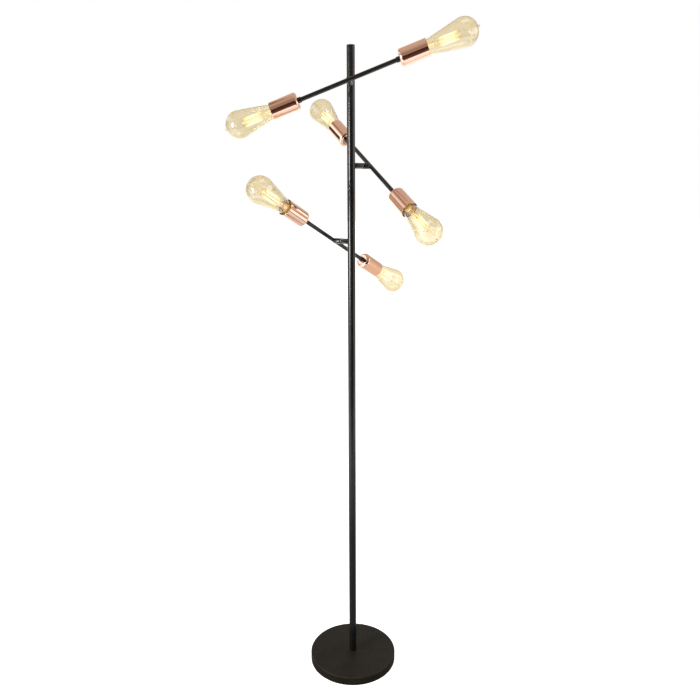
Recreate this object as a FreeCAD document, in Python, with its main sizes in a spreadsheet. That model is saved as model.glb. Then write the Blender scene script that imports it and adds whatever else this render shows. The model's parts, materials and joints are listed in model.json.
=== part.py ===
"""Tree floor lamp: a round weighted base, a pole in three sections and three swivelling arms.

Each arm carries a copper cup, a lampholder and a teardrop filament bulb at both ends.
Millimetres and degrees. The origin is on the pole's axis at floor level, +Z is up and the
front of the lamp faces -Y.
"""
import FreeCAD, Part

import math
import os
import re

import Sketcher
from FreeCAD import Matrix, Placement, Rotation, Vector

# Driving dimensions. Radii, heights and lengths in millimetres, angles in degrees.
SIZES = {
    # Base
    "base_radius": 116,
    "base_height": 23.5,
    "base_edge_round": 2.5,
    "cover_wall": 1.5,
    "cover_lift": 0.8,
    "pad_thickness": 2,
    "pad_inset": 3,
    "weight_gap": 0.3,
    "nut_pocket_radius": 13,
    "nut_pocket_depth": 8,
    "washer_radius": 11.5,
    "washer_thickness": 1.5,
    "nut_across_flats": 14,
    "nut_thickness": 3,
    "nipple_radius": 5,
    "nipple_bore": 3.6,
    "nipple_below_nut": 1,
    "nipple_in_pole": 12,
    "thread_clearance": 0.05,
    "bolt_hole_clearance": 0.3,
    # Cord gland in the rear of the base
    "gland_height": 9.5,
    "gland_bore": 3.6,
    "gland_neck_radius": 5.2,
    "gland_flange_radius": 6.5,
    "gland_flange_thickness": 2,
    "gland_barb_radius": 6,
    "gland_barb_length": 3.5,
    "gland_clearance": 0.3,
    "gland_hole_clearance": 0.1,
    # Pole
    "pole_radius": 9.5,
    "pole_wall": 1.2,
    "pole_height": 1588,
    "foot_bush_length": 15,
    "coupler_length": 60,
    "coupler_bore": 5.5,
    "insert_clearance": 0.05,
    "cap_rim": 0.9,
    "cap_dome_radius": 42,
    "cap_plug_length": 9,
    "pole_lead_radius": 2.8,
    # Posts and swivels
    "post_radius": 6.8,
    "post_length": 30,
    "edge_chamfer": 0.6,
    "arm_offset": 55,
    "wire_hole": 2.6,
    "spigot_radius": 4.6,
    "spigot_length": 16,
    "spigot_clearance": 0.05,
    "swivel_gap": 0.3,
    "swivel_washer_thickness": 0.5,
    "swivel_washer_inset": 0.3,
    "screw_place": 8,
    "screw_radius": 1.95,
    "screw_hole": 2,
    "screw_slot": 0.7,
    "screw_slot_depth": 0.9,
    "screw_point_radius": 1.2,
    "screw_point_depth": 1,
    "groove_depth": 1.2,
    "groove_clearance": 0.15,
    "swing_low": -20,
    "swing_high": 40,
    # Places of the three arms: below the pole's top, round the pole and from level
    "top_arm_drop": 82,
    "middle_arm_drop": 263,
    "low_arm_drop": 440,
    "top_arm_azimuth": -96,
    "middle_arm_azimuth": 33,
    "low_arm_azimuth": 139,
    "top_arm_tilt": 20,
    "middle_arm_tilt": 33,
    "low_arm_tilt": 27,
    # Arm tube
    "arm_radius": 5,
    "arm_wall": 1,
    "arm_reach": 120,
    "saddle_clearance": 0.05,
    "saddle_end": 1.5,
    "collar_radius": 6.4,
    "collar_length": 7,
    "arm_lead_radius": 1.9,
    # Cup and lampholder
    "cup_radius": 20,
    "cup_length": 65,
    "cup_wall": 1,
    "cup_round": 7,
    "cup_inner_bevel": 0.7,
    "holder_recess": 1.5,
    "holder_boss_radius": 9,
    "holder_boss_length": 8,
    "holder_shoulder": 4,
    "holder_radius": 17,
    "holder_rim_radius": 18.6,
    "holder_rim_length": 7.5,
    "holder_mouth": 17.4,
    "holder_throat": 15.2,
    "holder_bore_depth": 22.5,
    "holder_floor": 8,
    "tube_in_holder": 13,
    "shell_radius": 13.7,
    "shell_wall": 0.4,
    "shell_clearance": 0.3,
    "shell_length": 27,
    "shell_lip": 9,
    "contact_width": 5,
    "contact_thickness": 0.5,
    "contact_rise": 2.9,
    "contact_foot": 7,
    # Bulb, measured along its axis from the mouth of the cup
    "cap_skirt_depth": 3.5,
    "bulb_cap_radius": 13.05,
    "bulb_cap_wall": 0.5,
    "bulb_cap_thread": 16,
    "bulb_cap_length": 27,
    "bulb_contact_radius": 4.5,
    "bulb_reach": 117,
    "bulb_radius": 32,
    "bulb_neck_radius": 16,
    "bulb_neck_depth": 5,
    "bulb_shoulder": 3,
    "glass_wall": 0.8,
    "glass_gap": 0.1,
    "tip_radius": 3.6,
    "tip_length": 4,
    "tip_round": 2.2,
    # Glass mount and filament cage inside the bulb
    "flare_thickness": 1.2,
    "press_radius": 4.2,
    "press_length": 22,
    "rod_radius": 1.5,
    "button_radius": 2.6,
    "button_length": 3,
    "cage_low": 22,
    "cage_high": 72,
    "cage_radius": 9,
    "cage_gap_angle": 50,
    "cage_legs": 8,
    "filament_radius": 0.35,
    "support_radius": 0.3,
}

ARMS = ("top", "middle", "low")

doc = FreeCAD.newDocument("tree_floor_lamp")
sheet = doc.addObject("Spreadsheet::Sheet", "Sizes")
for row, (alias, number) in enumerate(SIZES.items(), start=1):
    sheet.set(f"A{row}", alias)
    sheet.set(f"B{row}", str(number))
    sheet.setAlias(f"B{row}", alias)
doc.recompute()


# ---------------------------------------------------------------- helpers


def bound(text):
    """The expression with each size's name pointed at the sheet."""
    return re.sub(r"[a-z_]+", lambda m: f"Sizes.{m[0]}" if m[0] in SIZES else m[0], text)


def size(text):
    """The number that an expression of sizes gives now."""
    result = sheet.evalExpression(bound(text))
    return float(getattr(result, "Value", result))


def bind(item, name, text):
    """Sets a property, or a sketch's constraint, to an expression of sizes."""
    item.setExpression(name, bound(text))


def plane_of(body, role):
    """The body's own origin plane with that role."""
    return next(part for part in body.Origin.OriginFeatures if part.Role == role)


def new_body(name):
    """An empty body with its own label."""
    body = doc.addObject("PartDesign::Body", name)
    body.Label = name
    return body


def new_sketch(body, role, name="Profile", turn=None, lift=None):
    """A sketch on one of the body's origin planes, turned about its own Y or lifted if asked."""
    sketch = body.newObject("Sketcher::SketchObject", f"{body.Name}_{name}")
    sketch.AttachmentSupport = [(plane_of(body, role), "")]
    sketch.MapMode = "FlatFace"
    if turn:
        sketch.AttachmentOffset = Placement(Vector(), Rotation(Vector(0, 1, 0), size(turn)))
        bind(sketch, ".AttachmentOffset.Rotation.Angle", turn)
    if lift:
        sketch.AttachmentOffset = Placement(Vector(0, 0, size(lift)), Rotation())
        bind(sketch, ".AttachmentOffset.Base.z", lift)
    return sketch


def pin(sketch, geometry, point, x, y):
    """Holds a point of the sketch at a place given by two expressions."""
    for kind, axis, text in (("DistanceX", -2, x), ("DistanceY", -1, y)):
        if text == "0":
            sketch.addConstraint(Sketcher.Constraint("PointOnObject", geometry, point, axis))
        else:
            made = sketch.addConstraint(
                Sketcher.Constraint(kind, -1, 1, geometry, point, size(text)))
            bind(sketch, f"Constraints[{made}]", text)


def circle(sketch, radius, x="0", y="0"):
    """A circle of the sketch, with its radius and centre bound to sizes."""
    place = Vector(size(x), size(y), 0)
    made = sketch.addGeometry(Part.Circle(place, Vector(0, 0, 1), size(radius)), False)
    held = sketch.addConstraint(Sketcher.Constraint("Radius", made, size(radius)))
    bind(sketch, f"Constraints[{held}]", radius)
    pin(sketch, made, 3, x, y)


def outline(sketch, corners):
    """A closed outline. A corner is (x, y), or (x, y, radius, side) where the edge that leaves
    it is an arc with its centre on the left (side 1) or on the right (side -1)."""
    points = [Vector(size(corner[0]), size(corner[1]), 0) for corner in corners]
    ends = []
    for index, corner in enumerate(corners):
        here = points[index]
        there = points[(index + 1) % len(points)]
        if len(corner) == 2:
            made = sketch.addGeometry(Part.LineSegment(here, there), False)
            ends.append((made, 1, 2))
            continue
        radius = size(corner[2])
        chord = there - here
        across = Vector(-chord.y, chord.x, 0).normalize()
        rise = math.sqrt(max(radius ** 2 - (chord.Length / 2) ** 2, 0))
        centre = (here + there) * 0.5 + across * rise * corner[3]
        first, last = (here, there) if corner[3] > 0 else (there, here)
        angles = [math.atan2(p.y - centre.y, p.x - centre.x) for p in (first, last)]
        whole = Part.Circle(centre, Vector(0, 0, 1), radius)
        made = sketch.addGeometry(Part.ArcOfCircle(whole, *angles), False)
        ends.append((made, 1, 2) if corner[3] > 0 else (made, 2, 1))
    for index, (made, start, _) in enumerate(ends):
        before, _, end = ends[index - 1]
        sketch.addConstraint(Sketcher.Constraint("Coincident", before, end, made, start))
        pin(sketch, made, start, *corners[index][:2])
        if len(corners[index]) == 4:
            held = sketch.addConstraint(
                Sketcher.Constraint("Radius", made, size(corners[index][2])))
            bind(sketch, f"Constraints[{held}]", corners[index][2])


def rectangle(x_low, x_high, y_low, y_high):
    """The four corners of a rectangle, in order."""
    return [(x_low, y_low), (x_high, y_low), (x_high, y_high), (x_low, y_high)]


def turned(name, role, corners):
    """A body turned from an outline: about Z from the XZ plane, about X from the XY plane."""
    body = new_body(name)
    sketch = new_sketch(body, role)
    outline(sketch, corners)
    turn = body.newObject("PartDesign::Revolution", f"{name}_Turned")
    turn.Profile = sketch
    turn.ReferenceAxis = (sketch, ["V_Axis" if role == "XZ_Plane" else "H_Axis"])
    turn.Angle = 360
    return body


def tube(name, role, radius, bore, length, lift=None, symmetric=False):
    """A body padded from a ring."""
    body = new_body(name)
    sketch = new_sketch(body, role, lift=lift)
    circle(sketch, radius)
    if bore:
        circle(sketch, bore)
    pad = body.newObject("PartDesign::Pad", f"{name}_Pad")
    pad.Profile = sketch
    pad.SideType = "Symmetric" if symmetric else "One side"
    bind(pad, "Length", length)
    return body


def pocket(body, sketch, length, name, reverse=False, symmetric=False):
    """A pocket of the body, which has to take material away."""
    doc.recompute()
    before = body.Shape.Volume
    cut = body.newObject("PartDesign::Pocket", f"{body.Name}_{name}")
    cut.Profile = sketch
    cut.SideType = "Symmetric" if symmetric else "One side"
    cut.Reversed = reverse
    bind(cut, "Length", length)
    doc.recompute()
    if not body.Shape.Volume < before:
        raise RuntimeError(f"{cut.Name} takes nothing away")


def group(name, parts, placement=None):
    """A sub-part that holds placed copies of the given objects."""
    node = doc.addObject("Part::Compound", name)
    node.Label = name
    node.Links = parts
    if placement:
        node.Placement = placement
    return node


def mirrored(body):
    """The same piece at the arm's other end."""
    copy = doc.addObject("Part::Mirroring", f"{body.Name}_other_end")
    copy.Source = body
    copy.Base = Vector(0, 0, 0)
    copy.Normal = Vector(1, 0, 0)
    return copy


def arm_level(arm):
    """Height of an arm's post, hung from the pole's top."""
    return f"(pole_height - {arm}_arm_drop)"


def post_frame(arm):
    """At the pole's axis: X along the level arm, Y up and Z out along the post."""
    azimuth = math.radians(size(f"{arm}_arm_azimuth"))
    outward = Vector(math.cos(azimuth), math.sin(azimuth), 0)
    along = Vector(-outward.y, outward.x, 0)
    turn = Rotation(along, Vector(0, 0, 1), outward, "ZXY")
    return Placement(Vector(0, 0, size(arm_level(arm))), turn)


def arm_frame(arm):
    """At the arm's middle: the post's frame moved out to the arm and turned by its tilt."""
    tilt = Rotation(Vector(0, 0, 1), size(f"{arm}_arm_tilt"))
    return post_frame(arm) * Placement(Vector(0, 0, size("arm_offset")), tilt)


# ---------------------------------------------------------------- base


def base_pad():
    """Soft disc that the lamp stands on. It closes the weight's pocket and channel."""
    return tube("base_pad", "XY_Plane", "base_radius - pad_inset", None, "pad_thickness")


def base_weight():
    """Cast disc with a pocket for the nut and a channel for the cord to the gland."""
    top = "base_height - cover_wall"
    pocket_top = "pad_thickness + nut_pocket_depth"
    hole = "nipple_radius + bolt_hole_clearance"
    rim = "base_radius - cover_wall - weight_gap"
    bevel = "base_edge_round - cover_wall"
    body = turned("base_weight", "XZ_Plane", [
        ("nut_pocket_radius", "pad_thickness"),
        (rim, "pad_thickness"),
        (rim, f"{top} - ({bevel})"),
        (f"{rim} - ({bevel})", top),
        (hole, top),
        (hole, pocket_top),
        ("nut_pocket_radius", pocket_top)])
    half_width = "(gland_barb_radius + gland_clearance)"
    sketch = new_sketch(body, "XY_Plane", "Channel")
    outline(sketch, rectangle(f"-{half_width}", half_width, "nut_pocket_radius / 2", "base_radius"))
    pocket(body, sketch, f"gland_height + {half_width}", "Channel_cut", reverse=True)
    return body


def base_cover():
    """Pressed shell over the weight: edge round outside, bevelled inside, a hole for the gland."""
    hole = "nipple_radius + bolt_hole_clearance"
    inner = "base_radius - cover_wall"
    inside_bevel = "base_edge_round - cover_wall"
    body = turned("base_cover", "XZ_Plane", [
        (hole, "base_height - cover_wall"),
        (f"{inner} - ({inside_bevel})", "base_height - cover_wall"),
        (inner, f"base_height - cover_wall - ({inside_bevel})"),
        (inner, "cover_lift"),
        ("base_radius", "cover_lift"),
        ("base_radius", "base_height - base_edge_round", "base_edge_round", 1),
        ("base_radius - base_edge_round", "base_height"),
        (hole, "base_height")])
    sketch = new_sketch(body, "XZ_Plane", "Gland_hole")
    circle(sketch, "gland_neck_radius + gland_hole_clearance", "0", "gland_height")
    pocket(body, sketch, "base_radius + cover_wall", "Gland_cut")
    return body


def cord_gland():
    """Snap-in bush: a flange outside the shell, a neck through it and a barb inside."""
    inside = "-(cover_wall + gland_clearance)"
    end = f"({inside} - gland_barb_length)"
    outside = "(gland_clearance + gland_flange_thickness)"
    body = turned("cord_gland", "XY_Plane", [
        (end, "gland_bore"),
        (outside, "gland_bore"),
        (outside, "gland_flange_radius - edge_chamfer"),
        (f"{outside} - edge_chamfer", "gland_flange_radius"),
        ("gland_clearance", "gland_flange_radius"),
        ("gland_clearance", "gland_neck_radius"),
        (inside, "gland_neck_radius"),
        (inside, "gland_barb_radius"),
        (end, "gland_neck_radius")])
    place = Vector(0, size("base_radius"), size("gland_height"))
    body.Placement = Placement(place, Rotation(Vector(0, 0, 1), 90))
    return body


def base_nipple():
    """Threaded tube that draws the pole down on the base."""
    bottom = "pad_thickness + nut_pocket_depth - washer_thickness - nut_thickness" \
             " - nipple_below_nut"
    return tube("base_nipple", "XY_Plane", "nipple_radius", "nipple_bore",
                f"base_height + nipple_in_pole - ({bottom})", lift=bottom)


def base_washer():
    """Plain washer in the weight's pocket."""
    return tube("base_washer", "XY_Plane", "washer_radius", "nipple_radius + bolt_hole_clearance",
                "washer_thickness",
                lift="pad_thickness + nut_pocket_depth - washer_thickness")


def base_nut():
    """Thin hexagon nut on the nipple."""
    body = new_body("base_nut")
    bottom = "pad_thickness + nut_pocket_depth - washer_thickness - nut_thickness"
    sketch = new_sketch(body, "XY_Plane", lift=bottom)
    corner = "nut_across_flats / 2 / cos(30)"
    outline(sketch, [(f"{corner} * cos({60 * k + 30})", f"{corner} * sin({60 * k + 30})")
                     if k not in (1, 4) else ("0", f"{corner} * {1 if k == 1 else -1}")
                     for k in range(6)])
    circle(sketch, "nipple_radius + thread_clearance")
    pad = body.newObject("PartDesign::Pad", "base_nut_Pad")
    pad.Profile = sketch
    bind(pad, "Length", "nut_thickness")
    return body


# ---------------------------------------------------------------- pole


SECTION = "((pole_height - base_height) / 3)"
POLE_BORE = "(pole_radius - pole_wall)"


def pole_section(name, number):
    """One of the three equal tubes of the pole, counted from the base."""
    return tube(name, "XY_Plane", "pole_radius", POLE_BORE, SECTION,
                lift=f"base_height + {number} * {SECTION}")


def pole_upper():
    """The top tube, with a hole into each arm's post for the wires."""
    body = pole_section("pole_upper", 2)
    for arm in ARMS:
        sketch = new_sketch(body, "XZ_Plane", f"{arm}_hole", turn=f"{arm}_arm_azimuth - 90")
        circle(sketch, "wire_hole", "0", arm_level(arm))
        pocket(body, sketch, "pole_radius * 2", f"{arm}_hole_cut")
    return body


def pole_foot_bush():
    """Threaded bush in the pole's foot, which takes the nipple."""
    return tube("pole_foot_bush", "XY_Plane", f"{POLE_BORE} - insert_clearance",
                "nipple_radius + thread_clearance", "foot_bush_length", lift="base_height")


def pole_couplers():
    """Sleeves inside the two joints of the pole."""
    return group("pole_couplers", [
        tube(f"coupler_{number}", "XY_Plane", f"{POLE_BORE} - insert_clearance", "coupler_bore",
             "coupler_length", lift=f"base_height + {number} * {SECTION} - coupler_length / 2")
        for number in (1, 2)])


def pole_cap():
    """Slightly domed plug that closes the pole's top."""
    plug = f"({POLE_BORE} - insert_clearance)"
    rise = "(cap_dome_radius - sqrt(cap_dome_radius ^ 2 - pole_radius ^ 2))"
    return turned("pole_cap", "XZ_Plane", [
        ("0", "pole_height - cap_plug_length"),
        (plug, "pole_height - cap_plug_length"),
        (plug, "pole_height"),
        ("pole_radius", "pole_height"),
        ("pole_radius", "pole_height + cap_rim", "cap_dome_radius", 1),
        ("0", f"pole_height + cap_rim + {rise}")])


def pole_lead():
    """The lamp's supply lead inside the pole, up to the top arm."""
    bottom = "pad_thickness + nut_pocket_depth - washer_thickness - nut_thickness"
    return tube("pole_lead", "XY_Plane", "pole_lead_radius", None,
                f"{arm_level('top')} - ({bottom})", lift=bottom)


# ---------------------------------------------------------------- swivels

SCREW_LEVEL = "(post_length + screw_place)"
HUB_START = "(arm_offset - post_length - swivel_washer_thickness - swivel_gap)"
SPIGOT_END = "(arm_offset - post_length - spigot_length)"


def post():
    """Post of one arm: coped to the pole, with a spigot whose arc groove limits the swing."""
    body = turned("post", "XZ_Plane", [
        ("wire_hole", "0"),
        ("post_radius", "0"),
        ("post_radius", "post_length - edge_chamfer"),
        ("post_radius - edge_chamfer", "post_length"),
        ("spigot_radius", "post_length"),
        ("spigot_radius", "post_length + spigot_length"),
        ("wire_hole", "post_length + spigot_length")])
    sketch = new_sketch(body, "XZ_Plane", "Cope")
    circle(sketch, "pole_radius")
    pocket(body, sketch, "post_radius * 4", "Cope_cut", symmetric=True)

    before = body.Shape.Volume
    half_width = "(screw_point_radius + groove_clearance)"
    floor = "(spigot_radius - groove_depth)"
    middle = "(swing_low + swing_high) / 2 - 90"
    sketch = new_sketch(body, "XZ_Plane", "Stop_groove", turn=middle)
    outline(sketch, rectangle(floor, "post_radius", f"{SCREW_LEVEL} - {half_width}",
                              f"{SCREW_LEVEL} + {half_width}"))
    groove = body.newObject("PartDesign::Groove", "post_Stop_groove_cut")
    groove.Profile = sketch
    groove.ReferenceAxis = (sketch, ["V_Axis"])
    groove.Midplane = True
    bind(groove, "Angle",
         f"(swing_high - swing_low) * 1 deg + 2 * asin({half_width} / {floor})")
    doc.recompute()
    if not body.Shape.Volume < before:
        raise RuntimeError("the stop groove takes nothing away")
    return body


def swivel_washer():
    """Friction washer between a post and its hub."""
    return tube("swivel_washer", "XY_Plane", "post_radius - swivel_washer_inset",
                "spigot_radius + spigot_clearance", "swivel_washer_thickness",
                lift="post_length")


def hub():
    """Sleeve that turns on the post's spigot and holds the arm tube in its saddle."""
    bore = "(spigot_radius + spigot_clearance)"
    bore_end = f"-({SPIGOT_END} - swivel_gap)"
    body = turned("hub", "XZ_Plane", [
        (bore, f"-{HUB_START}"),
        ("post_radius - edge_chamfer", f"-{HUB_START}"),
        ("post_radius", f"-{HUB_START} + edge_chamfer"),
        ("post_radius", "-saddle_end"),
        ("wire_hole", "-saddle_end"),
        ("wire_hole", bore_end),
        (bore, bore_end)])
    saddle = new_sketch(body, "YZ_Plane", "Saddle")
    circle(saddle, "arm_radius + saddle_clearance")
    pocket(body, saddle, "post_radius * 4", "Saddle_cut", symmetric=True)
    hole = new_sketch(body, "XZ_Plane", "Screw_hole")
    circle(hole, "screw_hole", "0", f"{SCREW_LEVEL} - arm_offset")
    pocket(body, hole, "post_radius * 2", "Screw_hole_cut", reverse=True)
    return body


def swivel_screw():
    """Slotted grub screw in the hub. Its point runs in the spigot's groove."""
    point = "(spigot_radius - screw_point_depth)"
    shoulder = "(spigot_radius + 4 * spigot_clearance)"
    top = "(post_radius - spigot_clearance)"
    body = turned("screw", "XZ_Plane", [
        ("0", point),
        ("screw_point_radius", point),
        ("screw_point_radius", shoulder),
        ("screw_radius", shoulder),
        ("screw_radius", top),
        ("0", top)])
    slot = new_sketch(body, "XY_Plane", "Slot", lift=top)
    outline(slot, rectangle("-screw_radius * 2", "screw_radius * 2", "-screw_slot / 2",
                            "screw_slot / 2"))
    pocket(body, slot, "screw_slot_depth", "Slot_cut")
    place = Vector(0, 0, size(f"{SCREW_LEVEL} - arm_offset"))
    body.Placement = Placement(place, Rotation(Vector(1, 0, 0), 90))
    return body


# ---------------------------------------------------------------- arm and its two ends

MOUTH = "(arm_reach + cup_length)"
CUP_FLOOR = "(arm_reach + cup_wall)"
TUBE_END = "(arm_reach + cup_wall + tube_in_holder)"
HOLDER_FRONT = f"({MOUTH} - holder_recess)"
SOCKET_FLOOR = f"({CUP_FLOOR} + holder_bore_depth + holder_floor)"
SKIRT = f"({MOUTH} - cap_skirt_depth)"


def arm_tube():
    """Straight tube of the arm, with a hole at its middle for the wires."""
    body = tube("arm_tube", "YZ_Plane", "arm_radius", "arm_radius - arm_wall",
                f"2 * {TUBE_END}", symmetric=True)
    sketch = new_sketch(body, "XY_Plane", "Wire_hole")
    circle(sketch, "wire_hole")
    pocket(body, sketch, "arm_radius * 2", "Wire_hole_cut")
    return body


def arm_lead():
    """Twin wire through the arm tube, from one lampholder to the other."""
    return tube("arm_lead", "YZ_Plane", "arm_lead_radius", None,
                f"2 * ({CUP_FLOOR} + holder_bore_depth)", symmetric=True)


def arm_collar():
    """Collar on the tube that clamps the cup."""
    start = "(arm_reach - collar_length)"
    bore = "arm_radius + thread_clearance"
    return turned("arm_collar", "XY_Plane", [
        (start, bore),
        (start, "collar_radius - edge_chamfer"),
        (f"{start} + edge_chamfer", "collar_radius"),
        ("arm_reach", "collar_radius"),
        ("arm_reach", bore)])


def socket_cup():
    """Spun cup with an open mouth. Its closed end is round outside and bevelled inside."""
    hole = "arm_radius + thread_clearance"
    inner = "(cup_radius - cup_wall)"
    bevel = "(cup_inner_bevel * (cup_round - cup_wall))"
    return turned("socket_cup", "XY_Plane", [
        ("arm_reach", hole),
        ("arm_reach", "cup_radius - cup_round", "cup_round", -1),
        ("arm_reach + cup_round", "cup_radius"),
        (MOUTH, "cup_radius"),
        (MOUTH, inner),
        (f"{CUP_FLOOR} + {bevel}", inner),
        (CUP_FLOOR, f"{inner} - {bevel}"),
        (CUP_FLOOR, hole)])


def lampholder():
    """Moulded lampholder: a boss on the tube, a body and a rim just inside the cup's mouth."""
    boss_end = f"({CUP_FLOOR} + holder_boss_length)"
    rim_start = f"({HOLDER_FRONT} - holder_rim_length)"
    bore_end = f"({CUP_FLOOR} + holder_bore_depth)"
    cavity = "shell_radius + shell_clearance"
    return turned("lampholder", "XY_Plane", [
        (CUP_FLOOR, "arm_radius + thread_clearance"),
        (CUP_FLOOR, "holder_boss_radius"),
        (boss_end, "holder_boss_radius"),
        (f"{boss_end} + holder_shoulder", "holder_radius"),
        (rim_start, "holder_radius"),
        (rim_start, "holder_rim_radius"),
        (HOLDER_FRONT, "holder_rim_radius"),
        (HOLDER_FRONT, "holder_mouth"),
        (rim_start, "holder_throat"),
        (rim_start, cavity),
        (SOCKET_FLOOR, cavity),
        (SOCKET_FLOOR, "0"),
        (bore_end, "0"),
        (bore_end, "arm_radius + thread_clearance")])


def screw_shell():
    """Brass shell that the bulb screws into."""
    inner = "shell_radius - shell_wall"
    return turned("screw_shell", "XY_Plane", [
        (SOCKET_FLOOR, "shell_lip"),
        (SOCKET_FLOOR, "shell_radius"),
        (f"{SOCKET_FLOOR} + shell_length", "shell_radius"),
        (f"{SOCKET_FLOOR} + shell_length", inner),
        (f"{SOCKET_FLOOR} + shell_wall", inner),
        (f"{SOCKET_FLOOR} + shell_wall", "shell_lip")])


def contact_spring():
    """Bent strip that presses on the bulb's centre contact."""
    body = new_body("contact_spring")
    sketch = new_sketch(body, "XZ_Plane")
    raised = f"({SOCKET_FLOOR} + contact_rise)"
    outline(sketch, [
        (SOCKET_FLOOR, "-contact_foot"),
        (f"{SOCKET_FLOOR} + contact_thickness", "-contact_foot"),
        (f"{SOCKET_FLOOR} + contact_thickness", "-contact_foot / 3"),
        (raised, "contact_thickness"),
        (raised, "contact_foot / 2"),
        (f"{raised} - contact_thickness", "contact_foot / 2"),
        (f"{raised} - contact_thickness", "contact_thickness * 2"),
        (SOCKET_FLOOR, "-contact_foot / 3 + contact_thickness")])
    pad = body.newObject("PartDesign::Pad", "contact_spring_Pad")
    pad.Profile = sketch
    pad.SideType = "Symmetric"
    bind(pad, "Length", "contact_width")
    return body


# ---------------------------------------------------------------- bulb

BULB_TIP = f"({MOUTH} + bulb_reach)"
BULB_CENTRE = f"({BULB_TIP} - tip_length - bulb_radius)"
NECK = f"({SKIRT} + glass_gap)"
SHOULDER = f"({NECK} + bulb_shoulder)"
NECK_END = f"({SKIRT} - bulb_neck_depth)"


def taper_end(start, neck, radius):
    """Where a cone from the neck meets the bulb's round end without a corner."""
    run = f"({BULB_CENTRE} - {start})"
    slant = f"(asin({radius} / sqrt({run} ^ 2 + {neck} ^ 2)) - atan({neck} / {run}))"
    return f"{BULB_CENTRE} - {radius} * sin({slant})", f"{radius} * cos({slant})"


def bulb_glass():
    """Teardrop envelope: a neck in the screw cap, a short shoulder, a straight taper, a round
    end and its tip."""
    inner_radius = "(bulb_radius - glass_wall)"
    inner_neck = "(bulb_neck_radius - glass_wall)"
    inner_shoulder = f"({SHOULDER} + glass_wall / 2)"
    seat = "(bulb_cap_radius - bulb_cap_wall - glass_gap)"
    tip_start = f"({BULB_CENTRE} + sqrt(bulb_radius ^ 2 - tip_radius ^ 2))"
    return turned("bulb_glass", "XY_Plane", [
        (NECK_END, f"{seat} - glass_wall"),
        (NECK_END, seat),
        (NECK, seat),
        (SHOULDER, "bulb_neck_radius"),
        (*taper_end(SHOULDER, "bulb_neck_radius", "bulb_radius"), "bulb_radius", -1),
        (tip_start, "tip_radius"),
        (f"{BULB_TIP} - tip_round", "tip_round", "tip_round", -1),
        (BULB_TIP, "0"),
        (f"{BULB_CENTRE} + {inner_radius}", "0", inner_radius, 1),
        taper_end(inner_shoulder, inner_neck, inner_radius),
        (inner_shoulder, inner_neck),
        (f"{NECK} + glass_wall", f"{seat} - glass_wall")])


def bulb_cap():
    """Screw cap of the bulb: threaded shell, insulating cone and centre contact."""
    thread_end = f"({SKIRT} - bulb_cap_thread)"
    end = f"({SKIRT} - bulb_cap_length)"
    inner = "bulb_cap_radius - bulb_cap_wall"
    return turned("bulb_cap", "XY_Plane", [
        (end, "0"),
        (end, "bulb_contact_radius - bulb_cap_wall"),
        (f"{end} + 2 * bulb_cap_wall", "bulb_contact_radius"),
        (f"{thread_end} - bulb_contact_radius", f"{inner} - 2 * bulb_cap_wall"),
        (thread_end, "bulb_cap_radius"),
        (SKIRT, "bulb_cap_radius"),
        (SKIRT, inner),
        (thread_end, inner),
        (f"{end} + bulb_contact_radius", "0")])


def bulb_stem():
    """Glass mount: a flare that closes the neck, a press and a rod with two buttons."""
    flare = "(bulb_cap_radius - bulb_cap_wall - 2 * glass_gap - glass_wall)"
    press_end = f"({NECK_END} + press_length)"
    low = f"({MOUTH} + cage_low)"
    high = f"({MOUTH} + cage_high)"
    return turned("bulb_stem", "XY_Plane", [
        (NECK_END, "0"),
        (NECK_END, flare),
        (f"{NECK_END} + flare_thickness", flare),
        (f"{NECK_END} + flare_thickness * 3", "press_radius"),
        (press_end, "press_radius"),
        (f"{press_end} + press_radius", "rod_radius"),
        (f"{low} - button_length / 2", "rod_radius"),
        (f"{low} - button_length / 2", "button_radius"),
        (f"{low} + button_length / 2", "button_radius"),
        (f"{low} + button_length / 2", "rod_radius"),
        (f"{high} - button_length / 2", "rod_radius"),
        (f"{high} - button_length / 2", "button_radius"),
        (f"{high} + button_length / 2", "button_radius"),
        (f"{high} + button_length / 2", "0")])


def six_sided_rod(start, end, radius):
    """A thin straight wire with six flat sides."""
    along = end - start
    turn = Rotation(Vector(0, 0, 1), along)
    corners = [start + turn * Vector(radius * math.cos(math.radians(60 * k)),
                                     radius * math.sin(math.radians(60 * k)), 0)
               for k in range(7)]
    return Part.Face(Part.makePolygon(corners)).extrude(along)


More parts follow.
